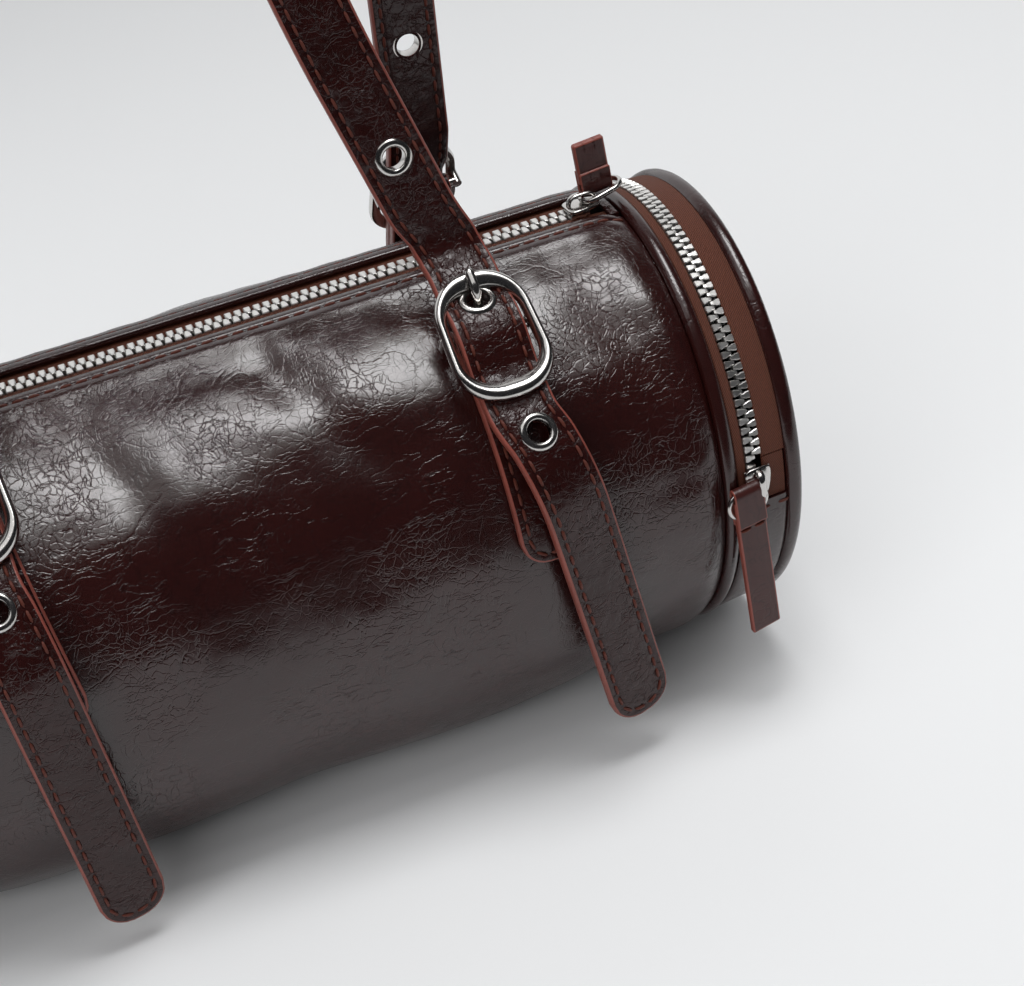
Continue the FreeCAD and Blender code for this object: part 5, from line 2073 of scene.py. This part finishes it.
    def punched(self, piece: Piece, holes: Sequence[Line]) -> None:
        """Cut round holes through a strap.

        Args:
            piece: the strap.
            holes: place and direction of each hole.
        """
        cutters = Draft()
        for spot, outward in holes:
            cutters.tube(np.array([spot - outward * 5, spot + outward * 5]), self.hole_r, sides=28,
                         first=Vector(np.cross(outward, [0.3, 0.9, 0.2])))
        cutter = cutters.piece("hole_cutter", [EDGE])
        modifier = piece.modifiers.new("holes", "BOOLEAN")
        modifier.object = cutter
        modifier.operation = "DIFFERENCE"
        modifier.solver = "EXACT"
        mesh = baked(piece)
        piece.modifiers.clear()
        piece.data = mesh
        bpy.data.objects.remove(cutter)

    @property
    def eyelet_run(self) -> float:
        """Length of strap from the centre bar to the buckled eyelet."""
        slope = math.atan2(self.top_n - self.low_n, self.saddle_foot - self.saddle_half)
        return self.saddle_half + (self.eyelet_at - self.saddle_half) / math.cos(slope)

    def strap(self, names: Tuple[str, str], body: str, x: float, way: int, ribbon: Ribbon, cut: StripCut,
              places: Sequence[float], nodes: Sequence[str], seams: Sequence[Line]) -> List[Hole]:
        """Make one strap with its punched holes and its stitches.

        Args:
            names: piece names of the strap and of its stitches.
            body: not used.
            x: place across the front.
            way: 1 where it leaves the buckle upwards, -1 downwards.
            ribbon: line that it follows.
            cut: its cut.
            places: where its eyelets are, along the line.
            nodes: construction nodes that it stands for.
            seams: its sewing lines.

        Returns:
            Spot, cross and outward direction of each eyelet.
        """
        draft = Draft()
        cut.build(draft, ribbon)
        strap = draft.piece(names[0], [STRAP_LEATHER, EDGE], sharp=60)
        holes = list(zip(*ribbon.at(np.array(places))))
        self.punched(strap, [(spot, outward) for spot, _, outward in holes])
        start, end = (self.turned(self.local(x, way * (self.hinge + reach), self.low_n))
                      for reach in (-self.fade, self.fade))
        bridge_joint(strap, nodes)
        bridge_joint(self.kit.sew(names[1], seams))
        return holes

    def rings(self, name: str, holes: Sequence[Hole], body: str, node: str) -> None:
        """Set eyelets in their holes.

        Args:
            name: piece name.
            holes: spot, cross and outward direction of each eyelet.
            body: construction body that they move with.
            node: construction node that they stand for.
        """
        draft = Draft()
        for hole in holes:
            self.eyelet(draft, *hole)
        settle(draft.piece(name, [NICKEL], sharp=50), body, [node])

    def build_handle(self) -> None:
        """Make the handle strap with its eyelets and stitches."""
        handle = self.word + "_handle"
        ribbon = self.handle_ribbon()
        cut = StripCut(ribbon.length, self.half, self.thick)
        places = [self.eyelet_run, self.eyelet_run + self.eyelet_pitch]
        places += [ribbon.length - place for place in places]
        seams = cut.seams(ribbon, self.seam_start, ribbon.length - self.seam_start, False)
        names = (handle + "_strap", handle + "_stitches")
        holes = self.strap(names, handle, 0.0, 1, ribbon, cut, places, [handle], seams)
        self.rings(handle + "_rings", holes[1::2], handle, handle + "_eyelets")
        self.buckled = holes[0::2]

    def build_tail(self, name: str) -> None:
        """Make one strap end with its eyelet and stitches.

        Args:
            name: right or left.
        """
        label = self.word + "_" + name
        end, tail = label + "_strap_end", label + "_tail"
        ribbon = self.tail_ribbon(name)
        cut = StripCut(ribbon.length, self.half, self.thick, tip_round=self.tip_round, cut_end=True)
        seams = cut.seams(ribbon, self.seam_start, ribbon.length, True)
        holes = self.strap((end, end + "_stitches"), tail, self.across(name), -1, ribbon, cut,
                           [self.tail_pitch - self.eyelet_run], [tail, label + "_saddle"], seams)
        self.rings(end + "_ring", holes, tail, tail + "_eyelet")

    def build_tab(self, name: str) -> None:
        """Make one folded anchor tab: loops round the centre bar and a sewn foot.

        Args:
            name: right or left.
        """
        x = self.across(name)
        label = self.word + "_" + name
        draft = Draft()
        arc = np.radians(np.linspace(0, self.tab_end - self.lift, 60))
        radius = BAG.radius + self.tab_out
        down = np.column_stack([-self.run - radius * np.sin(arc), radius * np.cos(arc) - BAG.radius])
        top = np.linspace(self.tab_top, -self.run, max(4, int(self.run)), endpoint=False)
        path = np.vstack([np.column_stack([top, np.full(len(top), self.tab_out)]), down])
        spots, across, outward = self.plane_ribbon(x, path)
        spots[:, 0] += self.tab_shifts.get(name, 0.0) * np.linspace(0, 1, len(path)) ** 1.3
        foot = Ribbon(self.turned(spots), self.turned(across), self.turned(outward))
        cut = StripCut(foot.length, self.half, self.tab_thick, tip_round=self.tab_round, cut_end=True,
                       crown=0.15, groove=0.3)
        cut.build(draft, foot)
        angles = np.radians(np.linspace(*self.loop_angles, 34))
        ahead, out = np.cos(angles), np.sin(angles)
        for side in (-1, 1):
            loop_x = x + side * (self.half + self.slot_half) / 2
            spots = self.local(loop_x, self.loop_r * ahead, self.bar_n + self.loop_r * out)
            line = Ribbon(self.turned(spots), self.turned(X_AXIS), self.turned(self.direction(ahead, out)))
            StripCut(line.length, (self.half - self.slot_half) / 2, self.loop_thick, edge=0.4, groove=0.0,
                     crown=0.05, seam=1.2, step=0.8).build(draft, line)
        tab = draft.piece(label + "_anchor_tab", [STRAP_LEATHER, EDGE], sharp=60)
        settle(tab, "bag", [label + "_tab"])
        lines = cut.seams(foot, self.tab_sewn, foot.length, True, both_faces=False)
        settle(self.kit.sew(label + "_anchor_stitches", lines), "bag")

    def build_buckle(self, name: str) -> None:
        """Make one buckle frame with its dropped centre bar, and the prong on it.

        Args:
            name: right or left.
        """
        x = self.across(name)
        label = self.word + "_" + name
        draft = Draft()
        outer = self.rounded_loop(*self.frame_outer)
        inner = self.rounded_loop(*self.frame_inner)
        rings = []
        for share, rise in FRAME_SECTION:
            plan = inner + (outer - inner) * share
            wide = x + plan[:, 0] * (1 - self.frame_taper * plan[:, 1] / self.frame_half)
            high = self.frame_low + self.frame_tall * rise
            rings.append(self.turned(self.local(wide, plan[:, 1] + self.frame_shift, high)))
        draft.net(np.array(rings), ring_u=True, ring_v=True)
        bar = np.linspace(x - self.bar_reach, x + self.bar_reach, 6)
        draft.tube(self.turned(self.local(bar, 0.0, self.bar_n)), self.bar_d / 2, sides=16)
        for side in (-1, 1):
            post = self.local(x + side * self.post_at, 0.0, np.linspace(*self.post_span, 5))
            draft.tube(self.turned(post), self.post_r, sides=14, first=Vector(X_AXIS))
        frame_piece = draft.piece(label + "_buckle_frame", [NICKEL], sharp=60)
        settle(frame_piece, "bag", [label + "_buckle"])
        draft = Draft()
        path = rounded_path(PRONG_CORNERS, PRONG_BENDS, 0.5)
        size = np.full(len(path), self.prong_r)
        size[-len(PRONG_TIP):] *= np.array(PRONG_TIP)
        draft.tube(self.turned(self.local(x, path[:, 0], path[:, 1])), size, sides=14, first=Vector(X_AXIS))
        along, out = (self.turned(self.direction(*way)) for way in ((1.0, 0.0), (0.0, 1.0)))
        bar = self.turned(self.local(x, 0.0, self.bar_n))
        draft.lathe(PRONG_LOOP, 24, np.array([along, out, X_AXIS]), bar)
        prong = label + "_prong"
        settle(draft.piece(label + "_buckle_prong", [NICKEL], sharp=50), prong, [prong])

    @staticmethod
    def rounded_loop(half_x: float, half_y: float, radius: float) -> Array:
        """Points round a rounded rectangle, the same count for every size.

        Args:
            half_x: half the width.
            half_y: half the length.
            radius: corner radius.

        Returns:
            Array of plan points.
        """
        arcs = []
        for quarter, (sx, sy) in enumerate(((1, 1), (-1, 1), (-1, -1), (1, -1))):
            angles = np.radians(90 * quarter + np.linspace(0, 90, 15))
            arc = radius * np.column_stack([np.cos(angles), np.sin(angles)])
            arcs.append(arc + np.array([sx * (half_x - radius), sy * (half_y - radius)]))
        loop = []
        for arc, following in zip(arcs, arcs[1:] + arcs[:1]):
            loop += [arc, np.linspace(arc[-1], following[0], 7)[1:-1]]
        return np.vstack(loop)

    def build(self) -> None:
        """Make everything on this side of the bag."""
        self.build_handle()
        for name in ("right", "left"):
            self.build_tail(name)
            self.build_tab(name)
            self.build_buckle(name)


# Lamps: name, watts, width and height, place and aim in metres, and whether glossy surfaces show them.
LAMPS = (("overhead_key", 9.8, (0.66, 0.54), (0.26, -0.02, 1.45), (0.1, 0.0, 0.1), True),
         ("overhead_softbox", 8.5, (2.4, 1.2), (-0.25, -0.15, 1.6), (-0.25, -0.15, 0.1), True),
         ("front_fill", 20.0, (1.8, 1.3), (-1.2, -1.3, 1.2), (-0.1, 0.0, 0.05), False),
         ("right_fill", 7.0, (1.4, 1.2), (1.7, 0.3, 1.2), (0.0, 0.0, 0.05), False))


@dataclass
class Studio:
    """Pale paper floor, overhead soft light, dim room and the photograph's camera."""

    position: Tuple[float, float, float] = (-72.5, -581.5, 445.8)
    azimuth: float = 15.59
    elevation: float = 32.96
    roll: float = 10.06
    focal_px: float = 2200.0
    image_width: float = 1024.0
    sensor: float = 36.0
    reach: float = 9000.0
    card_edge: float = -430.0
    card_height: float = 1.0
    wall_edges: Tuple[float, float] = (0.42, 0.74)
    front_wall: str = "#2c2c2e"
    back_wall: str = "#f6f7f8"

    def sheet(self, name: str, front: float, back: float, height: float, finish: Finish) -> Piece:
        """Lay one wide flat sheet.

        Args:
            name: sheet name.
            front: its front edge.
            back: its back edge.
            height: height that it lies at.
            finish: finish of the sheet.

        Returns:
            The sheet's object.
        """
        draft = Draft()
        corners = ((-self.reach, front), (self.reach, front), (self.reach, back), (-self.reach, back))
        draft.face([draft.spread(np.array([(x, y, height)])) for x, y in corners])
        sheet = draft.piece(name, [finish])
        return sheet

    def floor(self) -> None:
        """Lay the paper floor, and a black card in front that only mirror reflections show."""
        self.sheet("paper_floor", -self.reach, self.reach, 0.0, PAPER)
        card = self.sheet("black_card", -self.reach, self.card_edge, self.card_height, CARD)
        card.visible_camera = False
        card.visible_diffuse = False
        card.visible_shadow = False

    def lamp(self, name: str, power: float, size: Tuple[float, float], spot: Tuple[float, float, float],
             aim: Tuple[float, float, float], mirrored: bool) -> None:
        """Hang one softbox.

        Args:
            name: lamp name.
            power: its power in watts.
            size: width and height in metres.
            spot: its place in metres.
            aim: the point that it faces.
            mirrored: whether glossy surfaces show it.
        """
        data = bpy.data.lights.new(name, "AREA")
        data.shape = "RECTANGLE"
        data.size, data.size_y = size
        data.energy = power
        lamp = stand(name, data)
        lamp.location = spot
        lamp.rotation_euler = (Vector(aim) - Vector(spot)).to_track_quat("-Z", "Y").to_euler()
        lamp.visible_glossy = mirrored

    def room(self) -> None:
        """Surround the set with a room that is dark in front and pale behind."""
        world = bpy.data.worlds.new("studio_room")
        world.use_nodes = True
        tree = world.node_tree
        tree.nodes.clear()
        view = add_node(tree, "ShaderNodeTexCoord").outputs["Generated"]
        parts = add_node(tree, "ShaderNodeSeparateXYZ", None, {0: view})
        behind = add_node(tree, "ShaderNodeMapRange", {"interpolation_type": "SMOOTHSTEP"},
                          {"Value": parts.outputs["Y"], "From Min": self.wall_edges[0],
                           "From Max": self.wall_edges[1]})
        walls = add_node(tree, "ShaderNodeMix", {"data_type": "RGBA"},
                         {0: behind, 6: linear(self.front_wall), 7: linear(self.back_wall)})
        glow = add_node(tree, "ShaderNodeBackground", None, {"Color": walls.outputs[2], "Strength": 1.0})
        add_node(tree, "ShaderNodeOutputWorld", None, {"Surface": glow})
        bpy.context.scene.world = world

    def camera(self) -> None:
        """Stand the camera where the photograph was taken from."""
        a, e, r = (math.radians(v) for v in (self.azimuth, self.elevation, self.roll))
        ahead = Vector((math.sin(a) * math.cos(e), math.cos(a) * math.cos(e), -math.sin(e)))
        right = Vector((math.cos(a), -math.sin(a), 0))
        up = right.cross(ahead)
        level = math.cos(r) * right - math.sin(r) * up
        tall = math.sin(r) * right + math.cos(r) * up
        data = bpy.data.cameras.new("photo_camera")
        data.sensor_width = self.sensor
        data.lens = self.sensor * self.focal_px / self.image_width
        camera = stand("photo_camera", data)
        axes = Matrix((level, tall, -ahead)).transposed().to_4x4()
        camera.matrix_world = Matrix.Translation(Vector(self.position) * MM) @ axes
        bpy.context.scene.camera = camera

    def build(self) -> None:
        """Set up the whole studio."""
        self.floor()
        self.room()
        self.camera()
        for lamp in LAMPS:
            self.lamp(*lamp)
        bpy.context.scene.view_settings.view_transform = "Standard"


def main() -> None:
    """Build every sub-assembly in order."""
    logging.basicConfig(level=logging.INFO, format="%(name)s %(message)s")
    Studio().build()
    kit = Haberdashery()
    barrel = Barrel(kit)
    barrel.build()
    EndPocket(kit, barrel).build()
    TopZip(kit).build()
    PocketZipPull(kit).build()
    front = StrapPair(kit, Facing.FRONT, BAG.front_x, lift=38.0, run=6.6, lean=16.0,
                      tail_leans={"right": 13.5, "left": 8.5}, tail_free={"right": 118.5, "left": 124.0},
                      eyelet_pitch=54.0, tab_shifts={"left": 8.0})
    back = StrapPair(kit, Facing.BACK, BAG.back_x + BAG.back_apart, lift=60.0, run=36.0, lean=-2.0,
                     tail_leans={"right": -2.0, "left": 2.0}, tail_free={"right": 118.0, "left": 118.0},
                     sway=0.0)
    for pair in (front, back):
        pair.build()
    front.rings("buckled_rings", front.buckled + back.buckled, "bag", "buckled_eyelets")
    kit.clear()


if __name__ == "__main__":
    main()
